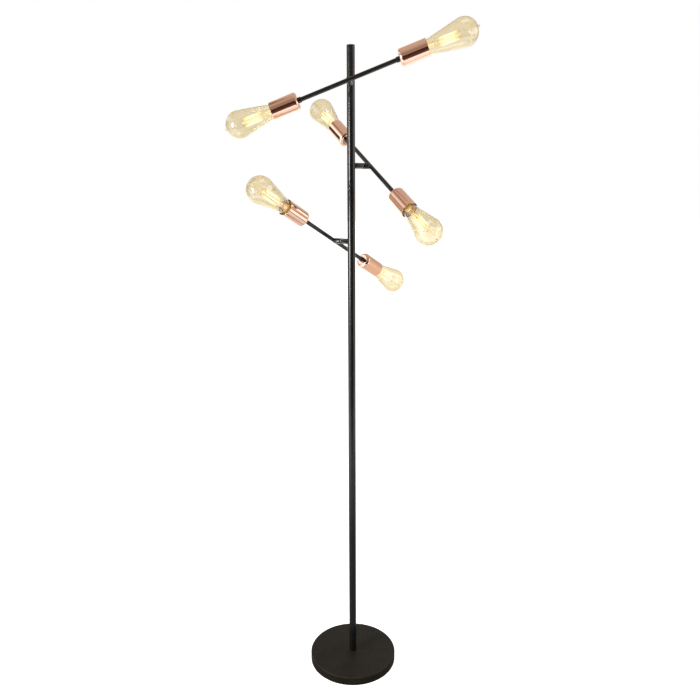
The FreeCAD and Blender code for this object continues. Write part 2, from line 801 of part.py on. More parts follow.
def filament_cage():
    """Filament led up and down round the stem, its hooks and its two lead-in wires."""
    legs = int(size("cage_legs"))
    low, high = size(f"{MOUTH} + cage_low"), size(f"{MOUTH} + cage_high")
    cage, wire = size("cage_radius"), size("filament_radius")
    first = math.radians(size("cage_gap_angle")) / 2
    step = (2 * math.pi - 2 * first) / (legs - 1)

    def around(along, radius, angle):
        return Vector(along, radius * math.cos(angle), radius * math.sin(angle))

    path = []
    for leg in range(legs):
        ends = (low, high) if leg % 2 == 0 else (high, low)
        path += [around(along, cage, first + leg * step) for along in ends]
    side = (path[1] - path[0]).normalize()
    turn = Rotation(Vector(0, 0, 1), side)
    ring = [path[0] + turn * Vector(wire * math.cos(math.radians(60 * k)),
                                    wire * math.sin(math.radians(60 * k)), 0)
            for k in range(7)]
    pieces = [Part.Wire(Part.makePolygon(path)).makePipeShell(
        [Part.makePolygon(ring)], True, False, 1)]

    hook = size("support_radius")
    button = size("button_radius + glass_gap")
    for leg in range(legs - 1):
        angle = first + (leg + 0.5) * step
        level = high if leg % 2 == 0 else low
        reach = cage * math.cos(step / 2)
        pieces.append(six_sided_rod(around(level, button, angle),
                                    around(level, reach, angle), hook))
    root = size(f"{NECK_END} + press_length - press_radius")
    press = size("press_radius + support_radius + glass_gap")
    for angle in (first, first + (legs - 1) * step):
        pieces.append(six_sided_rod(around(root, press, angle), around(low, cage, angle), hook))

    cage_shape = pieces[0].multiFuse(pieces[1:])
    feature = doc.addObject("Part::Feature", "filament_cage")
    feature.Shape = cage_shape
    return feature


# ---------------------------------------------------------------- assembly


def build_stand():
    """The fixed pieces, from the floor up."""
    nodes = [base_pad(), base_weight(), base_cover(), cord_gland(), base_nipple(),
             base_washer(), base_nut(), pole_foot_bush(),
             pole_section("pole_lower", 0), pole_section("pole_middle", 1), pole_upper(),
             pole_couplers(), pole_cap(), pole_lead()]
    one_post = post()
    nodes += [group(f"arm_post_{arm}", [one_post], post_frame(arm)) for arm in ARMS]
    one_washer = swivel_washer()
    washers = [group(f"washer_{arm}", [one_washer], post_frame(arm)) for arm in ARMS]
    nodes.append(group("swivel_washers", washers))
    return nodes


def build_arms():
    """The three arms: single pieces at the middle and a pair of each piece at the ends."""
    middles = {"swivel_hub": hub(), "swivel_screw": swivel_screw(), "arm_tube": arm_tube(),
               "arm_lead": arm_lead()}
    ends = {"arm_collars": arm_collar(), "socket_cups": socket_cup(),
            "lampholders": lampholder(), "screw_shells": screw_shell(),
            "contact_springs": contact_spring(), "bulb_caps": bulb_cap(),
            "bulb_glasses": bulb_glass(), "bulb_stems": bulb_stem(),
            "bulb_filaments": filament_cage()}
    pairs = {name: [piece, mirrored(piece)] for name, piece in ends.items()}
    singles = {name: [piece] for name, piece in middles.items()}
    return [group(f"{name}_{arm}", pieces, arm_frame(arm))
            for arm in ARMS for name, pieces in {**singles, **pairs}.items()]


def check(nodes):
    """Stops if any object failed or any sub-part has no sound solid."""
    for item in doc.Objects:
        if "Invalid" in item.State or "Error" in item.State:
            raise RuntimeError(f"{item.Name} failed: {item.State}")
    for node in nodes:
        if node.Shape.isNull() or not node.Shape.isValid() or not node.Shape.Solids:
            raise RuntimeError(f"{node.Label} has no sound shape")


nodes = build_stand() + build_arms()
doc.recompute()
check(nodes)
os.makedirs("parts", exist_ok=True)
for node in nodes:
    node.Shape.exportStep(f"parts/{node.Label}.step")
    print(f"{node.Label}: {len(node.Shape.Solids)} solid(s), {node.Shape.Volume:.1f} mm3")
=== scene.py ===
"""Looks of the tree floor lamp: its visible pieces, finishes, lights and camera, in metres."""

import json
import math
from collections import namedtuple

import bmesh
import bpy
from bpy.props import FloatProperty, FloatVectorProperty, IntProperty, PointerProperty
from mathutils import Matrix, Vector

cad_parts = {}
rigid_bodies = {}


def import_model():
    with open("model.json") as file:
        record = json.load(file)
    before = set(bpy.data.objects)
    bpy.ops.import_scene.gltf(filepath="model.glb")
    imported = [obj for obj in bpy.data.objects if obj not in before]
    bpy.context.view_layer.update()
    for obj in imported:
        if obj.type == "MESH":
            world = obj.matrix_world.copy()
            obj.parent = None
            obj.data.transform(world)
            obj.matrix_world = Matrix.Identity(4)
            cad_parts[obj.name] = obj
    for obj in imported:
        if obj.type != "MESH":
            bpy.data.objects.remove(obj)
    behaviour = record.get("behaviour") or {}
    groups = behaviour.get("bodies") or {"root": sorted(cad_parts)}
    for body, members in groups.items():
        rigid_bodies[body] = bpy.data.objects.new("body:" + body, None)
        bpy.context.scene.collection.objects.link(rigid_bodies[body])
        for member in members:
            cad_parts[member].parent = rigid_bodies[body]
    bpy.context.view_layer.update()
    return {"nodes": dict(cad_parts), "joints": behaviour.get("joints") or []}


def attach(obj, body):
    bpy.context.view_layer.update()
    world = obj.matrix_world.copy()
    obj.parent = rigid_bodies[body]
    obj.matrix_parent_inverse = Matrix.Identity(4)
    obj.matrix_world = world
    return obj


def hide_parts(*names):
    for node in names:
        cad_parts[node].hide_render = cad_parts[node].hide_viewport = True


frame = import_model()

bl_info = {
    "name": "Tree Floor Lamp",
    "version": (1, 0, 0),
    "blender": (4, 5, 0),
    "location": "3D View > Sidebar > Tree Lamp",
    "description": "Dresses the tree floor lamp's frame with finished pieces",
    "category": "Object",
}

MM = 0.001
ARMS = ("top", "middle", "low")
SWING_HIGH = 40  # degrees above level at which every arm meets its upper stop
UPRIGHT = Matrix.Rotation(math.radians(-90), 4, "Y")
OTHER_END = Matrix.Rotation(math.pi, 4, "Y")

SHARP = math.radians(32)  # a surface that turns by more than this shows an edge
FLAT = math.radians(89)  # half the angle of a corner that is too flat to round
LARGEST_SHARE = 0.49  # of a run, that the rounding at one of its ends may take
ON_AXIS = 1e-4 * MM  # points this close to the axis of a turned piece lie on it
LOOSE = 0.005 * MM  # corners of the frame's meshes this close are one corner
TOUCHING = 1e-3 * MM  # points of a node tree's mesh this close are one point

COIL_STEPS = 8.0  # points along each turn of the filament's coil
BEND_STEPS = 4  # points along each bend between two legs
WIRE_SIDES = 5
THREAD_GRID = (90, 97)  # points along the thread and round it
THREAD_EASE = 12.0  # how fast the thread reaches its depth at both ends
BALL_STEPS = 28  # points along the arc of the glass
TIP_STEPS = 8

FLOOR_REACH = 30
LIT_HEIGHT = 1.35  # the soft boxes face this height of the pole

Span = namedtuple("Span", "start end inner outer")

# Name, place, width, height and power of each soft box.
SOFT_BOXES = (
    ("left_box", (-1.86, -1.35, 1.22), 0.5, 1.05, 46),
    ("right_box", (2.4, -0.3, 1.5), 2.6, 2.2, 14),
    ("top_box", (0.3, -0.4, 3.6), 1.6, 1.2, 14),
)
# Corners of small turned pieces, (along, radius, rounding) in millimetres, from a place and a
# radius of the part that they sit on.
SHELL_LIP = ((0, -0.35, 0), (0, 2, 0.3), (4.7, 3.5, 0.1), (4.7, 3.2, 0.1), (0.3, 1.8, 0.3),
             (0.3, -0.35, 0))
SHELL_DISH = ((0, -0.3, 0.3), (1.5, 0, 0), (1.5, -0.4, 0), (0.4, -0.8, 0))
DISH_SHEET = 0.4 * MM
CAP_CONTACT = ((1, 0, 0), (1, 4.5, 0), (0, 4, 0.6), (0, 0, 0))
# Each card that only reflections see: name, two opposite corners, and its colour, or the
# colours of its lower or nearer edge and of the other one.
CARDS = (
    ("front_card", (-1.0, -2.6, 0.0), (3.3, -2.6, 1.75), (0.10, 0.05, 0.04),
     (0.045, 0.014, 0.008)),
    ("front_wall", (-4.5, -2.8, 1.6), (4.5, -2.8, 3.1), (0.40, 0.33, 0.28), (0.28, 0.23, 0.19)),
    ("front_floor", (-3.0, -3.0, 0.02), (3.0, -1.5, 0.02), (0.10, 0.06, 0.05),
     (0.20, 0.15, 0.12)),
    ("front_ceiling", (-2.4, -2.8, 3.0), (5.0, -0.5, 3.0), (0.30, 0.25, 0.20),
     (0.60, 0.52, 0.44)),
    ("rear_ceiling", (-2.4, -0.5, 3.0), (5.0, 4.0, 3.0), (0.60, 0.52, 0.44), (0.70, 0.64, 0.58)),
    ("left_beam", (-1.45, -0.4, 2.98), (-0.95, 1.0, 2.98), (0.32, 0.23, 0.15)),
    ("left_wall", (-3.4, -0.2, 0.0), (-3.4, 3.0, 2.4), (0.58, 0.50, 0.42), (0.52, 0.42, 0.34)),
    ("left_glow", (-1.9, 0.15, 2.0), (-1.9, 1.1, 2.8), (1.25, 1.55, 1.60)),
    ("left_flag", (-1.9, 0.6, 1.38), (-1.9, 1.35, 2.0), (0.06, 0.02, 0.01), (0.10, 0.05, 0.03)),
    ("right_sill", (2.3, -1.0, 0.55), (2.3, 0.2, 1.25), (0.53, 0.50, 0.42), (0.50, 0.42, 0.33)),
    ("right_mat", (1.0, -1.0, 0.02), (1.5, 0.05, 0.02), (0.38, 0.33, 0.25)),
    ("right_screen", (2.28, 0.05, 0.02), (2.28, 2.0, 1.5), (1.0, 0.90, 0.72),
     (0.68, 0.61, 0.49)),
    ("right_wing", (2.28, 0.95, 1.5), (2.28, 2.0, 1.95), (0.64, 0.57, 0.46), (0.56, 0.50, 0.42)),
    ("rear_screen", (0.7, 2.0, 1.2), (2.28, 2.0, 2.2), (0.62, 0.57, 0.48), (0.60, 0.55, 0.48)),
    ("side_mat", (0.62, 0.06, 0.02), (2.28, 0.27, 0.02), (0.86, 0.74, 0.59)),
    ("rear_mat", (-0.05, 0.06, 0.02), (0.62, 0.9, 0.02), (0.86, 0.74, 0.59), (0.84, 0.72, 0.60)),
)


# ---------------------------------------------------------------- the frame's places


def arm_frame(arm):
    """The arm's own frame: X towards its raised end and Z outwards along its post."""
    joint = next(j for j in frame["joints"] if j["name"] == f"{arm}_swivel")
    outward = Vector(joint["axis"])
    up = Vector((0, 0, 1))
    tilt = math.radians(SWING_HIGH - joint["range_deg"][1])
    along = up.cross(outward) * math.cos(tilt) + up * math.sin(tilt)
    turn = Matrix((along, outward.cross(along), outward)).transposed()
    return Matrix.Translation(joint["pos_m"]) @ turn.to_4x4()


def both_ends(arm):
    """Places of the pieces that stand at both ends of an arm."""
    return arm_frame(arm), arm_frame(arm) @ OTHER_END


def on_arm(piece):
    """How far a piece reaches along the arm from its middle, and its radii."""
    into = arm_frame("top").inverted()
    points = [into @ vertex.co for vertex in frame["nodes"][f"{piece}_top"].data.vertices]
    along = [abs(point.x) for point in points]
    across = [math.hypot(point.y, point.z) for point in points]
    return Span(min(along), max(along), min(across), max(across))


def on_pole(node):
    """How far a piece of the stand reaches up from the floor, and its radii."""
    points = [vertex.co for vertex in frame["nodes"][node].data.vertices]
    up = [point.z for point in points]
    across = [math.hypot(point.x, point.y) for point in points]
    return Span(min(up), max(up), min(across), max(across))


# ---------------------------------------------------------------- settings


def length(name, default, description):
    """A size given in millimetres, shown in the scene's units."""
    return FloatProperty(name=name, description=description, default=default * MM, min=0,
                         precision=5, unit="LENGTH", subtype="DISTANCE")


def paint(name, default, description):
    """A colour, as plain red, green and blue."""
    return FloatVectorProperty(name=name, description=description, default=default, size=3,
                               min=0, max=1, subtype="COLOR")


class TreeLampSizes(bpy.types.PropertyGroup):
    """Sizes of the pieces that the frame doesn't give."""

    edge_round: length("Edge round", 0.3, "Rounding of the small turned edges")
    base_round: length("Base edge round", 2.5, "Rounding of the base's upper edge")
    sheet_wall: length("Sheet wall", 1.0, "Wall of the cups and the arm tubes")
    cover_wall: length("Cover wall", 1.5, "Wall of the base's pressed cover")
    pole_wall: length("Pole wall", 1.2, "Wall of the pole's tubes")
    cup_round: length("Cup round", 7, "Rounding of a cup's closed end")
    lip_round: length("Lip round", 0.4, "Rounding of a cup's open edge")
    glass_wall: length("Glass wall", 0.8, "Wall of the bulb's glass")
    tip_radius: length("Tip radius", 3.6, "Radius of the sealed tip at its root")
    tip_length: length("Tip length", 4, "How far the sealed tip stands out")
    neck_length: length("Neck length", 5.1, "Length of the glass inside its cap")
    neck_gap: length("Neck gap", 0.6, "How much slimmer than its cap the glass is there")
    neck_radius: length("Neck radius", 16, "Radius of the glass above its cap")
    shoulder: length("Shoulder", 3, "Run in which the neck widens above its cap")
    flare_length: length("Flare length", 9, "Length of the mount's hollow trumpet")
    press_length: length("Press length", 22, "From the mount's foot to the end of its press")
    press_radius: length("Press radius", 4.2, "Radius of the mount's press")
    rod_radius: length("Rod radius", 1.5, "Radius of the rod that carries the buttons")
    button_radius: length("Button radius", 2.6, "Radius of the glass buttons")
    screw_length: length("Screw length", 16, "Length of a cap's rolled thread")
    cap_wall: length("Cap wall", 0.5, "Sheet of the caps")
    shell_wall: length("Shell wall", 0.35, "Sheet of the screw shells")
    shell_foot: length("Shell foot", 1.5, "Height of a shell's foot under its thread")
    thread_pitch: length("Thread pitch", 3.62, "Pitch of the rolled screw thread")
    thread_depth: length("Thread depth", 0.9, "Depth of the rolled screw thread")
    coil_radius: length("Coil radius", 0.55, "Radius of the filament's fine coil")
    coil_pitch: length("Coil pitch", 0.95, "Distance between the coil's turns")
    coil_wire: length("Coil wire", 0.16, "Radius of the coiled wire")
    cage_radius: length("Cage radius", 9, "Radius of the filament cage")
    cage_low: length("Cage start", 22, "Cage's lower hooks, from the cup's mouth")
    cage_high: length("Cage end", 72, "Cage's upper hooks, from the cup's mouth")
    cage_gap: FloatProperty(name="Cage gap", description="Open angle between the first and "
                            "the last leg", default=math.radians(50), subtype="ANGLE")
    cage_legs: IntProperty(name="Cage legs", description="Straight runs of the filament",
                           default=8, min=2, max=16)
    hook_wire: length("Hook wire", 0.3, "Radius of the hooks and lead-in wires")
    lead_root: length("Lead root", 17.8, "Where the lead-in wires leave the mount")


class TreeLampColours(bpy.types.PropertyGroup):
    """Colours of the finishes, in linear light."""

    pole_black: paint("Pole", (0.006, 0.006, 0.006), "Satin black of pole, posts and arms")
    base_brown: paint("Base", (0.0135, 0.011, 0.0065), "Matt brown-black of the base")
    copper: paint("Copper", (0.93, 0.60, 0.47), "Polished copper plating of the cups")
    brass: paint("Brass", (0.78, 0.54, 0.24), "Brass of caps, shells and contacts")
    amber: paint("Amber glass", (0.74, 0.61, 0.30), "Tint of the bulbs' glass")
    mount_glass: paint("Mount glass", (0.93, 0.90, 0.82), "Glass of the filament's mount")
    # The glow colour is also the painted glow of the mount glass and the support wires.
    glow: paint("Glow", (1.0, 0.70, 0.27), "Light of the filament")
    holder_black: paint("Lampholder", (0.014, 0.012, 0.010), "Moulded lampholder")


class TreeLampStage(bpy.types.PropertyGroup):
    """Camera and light of the picture."""

    camera_place: FloatVectorProperty(
        name="Camera place", description="Where the camera stands", size=3,
        default=(-0.0045, -1.643, 1.262), subtype="TRANSLATION", unit="LENGTH")
    camera_dip: FloatProperty(name="Camera dip", description="How far the camera looks down",
                              default=math.radians(13.1), subtype="ANGLE")
    camera_roll: FloatProperty(name="Camera roll", description="Turn about the line of sight",
                               default=math.radians(-0.25), subtype="ANGLE")
    focal_length: FloatProperty(name="Focal length", description="Lens on a 36 mm sensor",
                                default=34.66, min=1, unit="CAMERA")
    room_light: FloatProperty(name="Room light", description="Even light from all sides",
                              default=0.4, min=0)
    filament_light: FloatProperty(name="Filament light", description="Strength of the glow",
                                  default=4.2, min=0)


# ---------------------------------------------------------------- making meshes


def rounded(corners, steps=5):
    """Points of an outline whose corners, (along, radius, rounding), are rounded off."""
    points = []
    for index, (along, radius, rounding) in enumerate(corners):
        here = Vector((along, radius))
        before = Vector(corners[index - 1][:2]) - here
        after = Vector(corners[(index + 1) % len(corners)][:2]) - here
        half = before.angle(after) / 2
        if not rounding or half > FLAT:
            points.append(tuple(here))
            continue
        reach = rounding / math.tan(half)
        reach = min(reach, before.length * LARGEST_SHARE, after.length * LARGEST_SHARE)
        rounding = reach * math.tan(half)
        first = here + before.normalized() * reach
        last = here + after.normalized() * reach
        inward = (before.normalized() + after.normalized()).normalized()
        middle = here + inward * rounding / math.sin(half)
        start, end = first - middle, last - middle
        turn = start.angle_signed(end)
        for step in range(steps + 1):
            point = middle + Matrix.Rotation(-turn * step / steps, 2) @ start
            points.append(tuple(point))
    return points


def cornered(corners, along, radius):
    """Corners given in millimetres from a place and a radius, for rounded()."""
    return [(along + a * MM, radius + r * MM, bend * MM) for a, r, bend in corners]


def braced(points, near=0.6 * MM):
    """The same outline with extra points close to the ends of its long straight runs."""
    result = []
    for index, point in enumerate(points):
        here, there = Vector(point), Vector(points[(index + 1) % len(points)])
        result.append(point)
        run = there - here
        if run.length > 6 * near and max(here.y, there.y) > 0:
            result.append(tuple(here + run.normalized() * near))
            result.append(tuple(there - run.normalized() * near))
    return result


def new_piece(name, mesh, finish):
    """An object at the origin with that mesh, smooth except at its sharp edges."""
    mesh.materials.clear()
    mesh.materials.append(finish)
    mesh.polygons.foreach_set("use_smooth", [True] * len(mesh.polygons))
    mesh.set_sharp_from_angle(angle=SHARP)
    mesh.update()
    return placed(name, mesh)


def placed(name, data):
    """An object in the scene with that data."""
    thing = bpy.data.objects.new(name, data)
    bpy.context.scene.collection.objects.link(thing)
    return thing


def turned(name, outline, places, finish, segments=96):
    """A piece turned about X from a closed outline of (along, radius), once at each place."""
    shape = bmesh.new()
    layer = shape.loops.layers.uv.new("turned")
    spans = [(Vector(outline[k]) - Vector(outline[k - 1])).length for k in range(len(outline))]
    travel = [sum(spans[1:k + 1]) for k in range(len(outline) + 1)]
    angles = [2 * math.pi * k / segments for k in range(segments)]
    for place in places:
        rings = []
        for along, radius in outline:
            if radius < ON_AXIS:
                rings.append([shape.verts.new(place @ Vector((along, 0, 0)))] * segments)
                continue
            rings.append([shape.verts.new(place @ around(along, radius, a)) for a in angles])
        for k, ring in enumerate(rings):
            following = rings[(k + 1) % len(rings)]
            if ring[0] is ring[1] and following[0] is following[1]:
                continue
            ends = travel[k], travel[k + 1] if k + 1 < len(rings) else travel[k] + spans[0]
            for step in range(segments):
                ahead = (step + 1) % segments
                corners = [(ring[step], step, ends[0]), (ring[ahead], step + 1, ends[0]),
                           (following[ahead], step + 1, ends[1]),
                           (following[step], step, ends[1])]
                kept = [corner for n, corner in enumerate(corners)
                        if corner[0] is not corners[n - 1][0]]
                face = shape.faces.new([corner[0] for corner in kept])
                for loop, corner in zip(face.loops, kept):
                    loop[layer].uv = (corner[1] / segments, corner[2])
    bmesh.ops.recalc_face_normals(shape, faces=shape.faces)
    return new_piece(name, finished(shape, name), finish)


def around(along, radius, angle):
    """A place round the X axis."""
    return Vector((along, radius * math.cos(angle), radius * math.sin(angle)))


def finished(shape, name):
    """The mesh of a bmesh, which is freed."""
    mesh = bpy.data.meshes.new(name)
    shape.to_mesh(mesh)
    shape.free()
    return mesh


def smoothed(node, name, finish):
    """A copy of a CAD node with its loose corners joined, so that it shades smoothly."""
    shape = bmesh.new()
    shape.from_mesh(frame["nodes"][node].data)
    bmesh.ops.remove_doubles(shape, verts=shape.verts, dist=LOOSE)
    return new_piece(name, finished(shape, name), finish)


def drawn(name, routes, radius, places, finish):
    """Round wires along straight routes, once at each place."""
    line = bpy.data.curves.new(name, "CURVE")
    line.dimensions = "3D"
    line.bevel_depth = radius
    line.bevel_resolution = 2
    line.use_fill_caps = True
    for route in routes:
        spline = line.splines.new("POLY")
        spline.points.add(len(route) - 1)
        for point, place in zip(spline.points, route):
            point.co = (*place, 1)
    holder = placed(name, line)
    mesh = plain_mesh(holder)
    bpy.data.objects.remove(holder)
    return new_piece(name, repeated(mesh, name, places), finish)


def plain_mesh(holder):
    """The mesh that an object shows, modifiers included."""
    bpy.context.view_layer.update()
    shown = holder.evaluated_get(bpy.context.evaluated_depsgraph_get())
    return bpy.data.meshes.new_from_object(shown)


def repeated(mesh, name, places):
    """One mesh with a copy of the given mesh at each place."""
    shape = bmesh.new()
    for place in places:
        copy = mesh.copy()
        copy.transform(place)
        shape.from_mesh(copy)
        bpy.data.meshes.remove(copy)
    return finished(shape, name)


def grown(name, tree, sizes, places, finish):
    """A piece made by a Geometry Nodes tree with the given inputs, once at each place."""
    holder = placed(name, bpy.data.meshes.new(name))
    modifier = holder.modifiers.new("Made", "NODES")
    modifier.node_group = tree
    for socket in tree.interface.items_tree:
        if socket.name in sizes:
            modifier[socket.identifier] = sizes[socket.name]
        if socket.name == "Finish":
            modifier[socket.identifier] = finish
    mesh = plain_mesh(holder)
    holder.modifiers.clear()
    bpy.data.objects.remove(holder)
    if not mesh.polygons:
        raise RuntimeError(f"{name} came out empty")
    return new_piece(name, repeated(mesh, name, places), finish)


def hand_over(piece, body, slot, *nodes):
    """The piece rides on its body and stands for its CAD nodes, which are hidden; the slot is not
    used.
    """
    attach(piece, body)
    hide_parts(*nodes)


# ---------------------------------------------------------------- node trees


class Nodes:
    """Short way to lay out and join the nodes of a tree."""

    def __init__(self, tree):
        self.tree = tree

    def add(self, kind, *values, **settings):
        """A node with its properties set, and its first inputs linked or set in order."""
        node = self.tree.nodes.new(kind)
        for name, value in settings.items():
            setattr(node, name, value)
        for socket, value in zip(node.inputs, values):
            self.put(socket, value)
        return node

    def put(self, socket, value):
        """Links a socket to another or sets its own value."""
        if value is None:
            return
        if isinstance(value, bpy.types.Node):
            value = value.outputs[0]
        if isinstance(value, bpy.types.NodeSocket):
            self.tree.links.new(value, socket)
        elif socket.type == "RGBA":
            socket.default_value = (*value[:3], 1)
        else:
            socket.default_value = value

    def math(self, operation, *values):
        """The result of a Math node."""
        return self.add("ShaderNodeMath", *values, operation=operation).outputs[0]

    def product(self, first, *others):
        """All the values multiplied."""
        for other in others:
            first = self.math("MULTIPLY", first, other)
        return first

    def around(self, along, radius, angle):
        """A place round the X axis."""
        return self.add("ShaderNodeCombineXYZ", along,
                        self.product(radius, self.math("COSINE", angle)),
                        self.product(radius, self.math("SINE", angle)))

    def either(self, first, *others):
        """The largest of the values."""
        for other in others:
            first = self.math("MAXIMUM", first, other)
        return first


def new_tree(name, **inputs):
    """A Geometry Nodes tree with named inputs and one geometry output."""
    tree = bpy.data.node_groups.new(name, "GeometryNodeTree")
    for kind, labels in inputs.items():
        for label in labels:
            tree.interface.new_socket(label, in_out="INPUT", socket_type=f"NodeSocket{kind}")
    tree.interface.new_socket("Geometry", in_out="OUTPUT", socket_type="NodeSocketGeometry")
    nodes = Nodes(tree)
    given = nodes.add("NodeGroupInput").outputs
    return tree, nodes, given


def close_tree(nodes, shape, finish):
    """Ends a tree: instances made real and the finish set."""
    real = nodes.add("GeometryNodeRealizeInstances", shape)
    painted = nodes.add("GeometryNodeSetMaterial", real)
    nodes.put(painted.inputs["Material"], finish)
    nodes.add("NodeGroupOutput", painted)


def filament_tree():
    """Coiled filament led up and down round a cage along X."""
    tree, nodes, given = new_tree(
        "filament_cage", Int=["Legs"], Material=["Finish"],
        Float=["Cage radius", "Low", "High", "Gap", "Coil radius", "Coil pitch", "Wire radius"])
    index = nodes.add("GeometryNodeInputIndex")
    leg = nodes.math("FLOOR", nodes.math("DIVIDE", index, 2.0))
    raised = nodes.math("FLOOR", nodes.math("DIVIDE", nodes.math(
        "MODULO", nodes.math("ADD", index, 1.0), 4.0), 2.0))
    spread = nodes.math("SUBTRACT", 2 * math.pi, given["Gap"])
    step = nodes.math("DIVIDE", spread, nodes.math("SUBTRACT", given["Legs"], 1.0))
    angle = nodes.math("MULTIPLY_ADD", leg, step, nodes.math("DIVIDE", given["Gap"], 2.0))
    rise = nodes.math("SUBTRACT", given["High"], given["Low"])
    along = nodes.math("MULTIPLY_ADD", raised, rise, given["Low"])

    line = nodes.add("GeometryNodeCurvePrimitiveLine")
    corners = nodes.add("GeometryNodeResampleCurve", line)
    nodes.put(corners.inputs["Count"], nodes.product(given["Legs"], 2.0))
    zigzag = nodes.add("GeometryNodeSetPosition", corners)
    nodes.put(zigzag.inputs["Position"], nodes.around(along, given["Cage radius"], angle))
    bent = nodes.add("GeometryNodeFilletCurve", zigzag, mode="POLY")
    nodes.put(bent.inputs["Count"], BEND_STEPS)
    nodes.put(bent.inputs["Radius"], nodes.product(given["Coil radius"], 2.0))
    fine = nodes.add("GeometryNodeResampleCurve", bent, mode="LENGTH")
    nodes.put(fine.inputs["Length"], nodes.math("DIVIDE", given["Coil pitch"], COIL_STEPS))

    travel = nodes.add("GeometryNodeSplineParameter").outputs["Length"]
    turns = nodes.math("DIVIDE", travel, given["Coil pitch"])
    winding = nodes.add("FunctionNodeAxisAngleToRotation",
                        nodes.add("GeometryNodeInputTangent"), nodes.product(turns, 2 * math.pi))
    outward = nodes.add("FunctionNodeRotateVector", nodes.add("GeometryNodeInputNormal"), winding)
    offset = nodes.add("ShaderNodeVectorMath", outward, operation="SCALE")
    nodes.put(offset.inputs["Scale"], given["Coil radius"])
    coil = nodes.add("GeometryNodeSetPosition", fine)
    nodes.put(coil.inputs["Offset"], offset)

    ring = nodes.add("GeometryNodeCurvePrimitiveCircle", WIRE_SIDES)
    nodes.put(ring.inputs["Radius"], given["Wire radius"])
    wire = nodes.add("GeometryNodeCurveToMesh", coil, ring)
    nodes.put(wire.inputs["Fill Caps"], True)
    place = nodes.add("ShaderNodeSeparateXYZ", nodes.add("GeometryNodeInputPosition"))
    share = nodes.math("DIVIDE", nodes.math("SUBTRACT", place, given["Low"]), rise)
    marked = nodes.add("GeometryNodeStoreNamedAttribute", wire, None, "leg_share", share)
    close_tree(nodes, marked, given["Finish"])
    return tree


def thread_tree():
    """Wall with a rolled screw thread about X, between two places along it."""
    tree, nodes, given = new_tree(
        "rolled_thread", Material=["Finish"],
        Float=["Start", "End", "Radius", "Depth", "Pitch", "Wall"])
    run = nodes.math("SUBTRACT", given["End"], given["Start"])
    grid = nodes.add("GeometryNodeMeshGrid", 1.0, 1.0, *THREAD_GRID)
    place = nodes.add("ShaderNodeSeparateXYZ", nodes.add("GeometryNodeInputPosition"))
    share = nodes.math("ADD", place.outputs["X"], 0.5)
    angle = nodes.product(place.outputs["Y"], 2 * math.pi)
    along = nodes.product(share, run)
    turns = nodes.math("DIVIDE", along, given["Pitch"])
    phase = nodes.math("SUBTRACT", nodes.product(turns, 2 * math.pi), angle)
    wave = nodes.math("MULTIPLY_ADD", nodes.math("COSINE", phase), -0.5, 0.5)
    ends = nodes.product(share, nodes.math("SUBTRACT", 1.0, share), THREAD_EASE)
    dip = nodes.product(wave, nodes.math("MINIMUM", ends, 1.0), given["Depth"])
    radius = nodes.math("SUBTRACT", given["Radius"], dip)
    rolled = nodes.add("GeometryNodeSetPosition", grid.outputs["Mesh"])
    nodes.put(rolled.inputs["Position"],
              nodes.around(nodes.math("ADD", along, given["Start"]), radius, angle))
    closed = nodes.add("GeometryNodeMergeByDistance", rolled)
    nodes.put(closed.inputs["Distance"], TOUCHING)
    walled = nodes.add("GeometryNodeExtrudeMesh", closed, mode="FACES")
    nodes.put(walled.inputs["Individual"], False)
    nodes.put(walled.inputs["Offset Scale"], given["Wall"])
    whole = nodes.add("GeometryNodeJoinGeometry", walled.outputs["Mesh"])
    nodes.put(whole.inputs[0], nodes.add("GeometryNodeFlipFaces", closed))
    shell = nodes.add("GeometryNodeMergeByDistance", whole)
    nodes.put(shell.inputs["Distance"], TOUCHING)
    close_tree(nodes, shell, given["Finish"])
    return tree


# ---------------------------------------------------------------- finishes


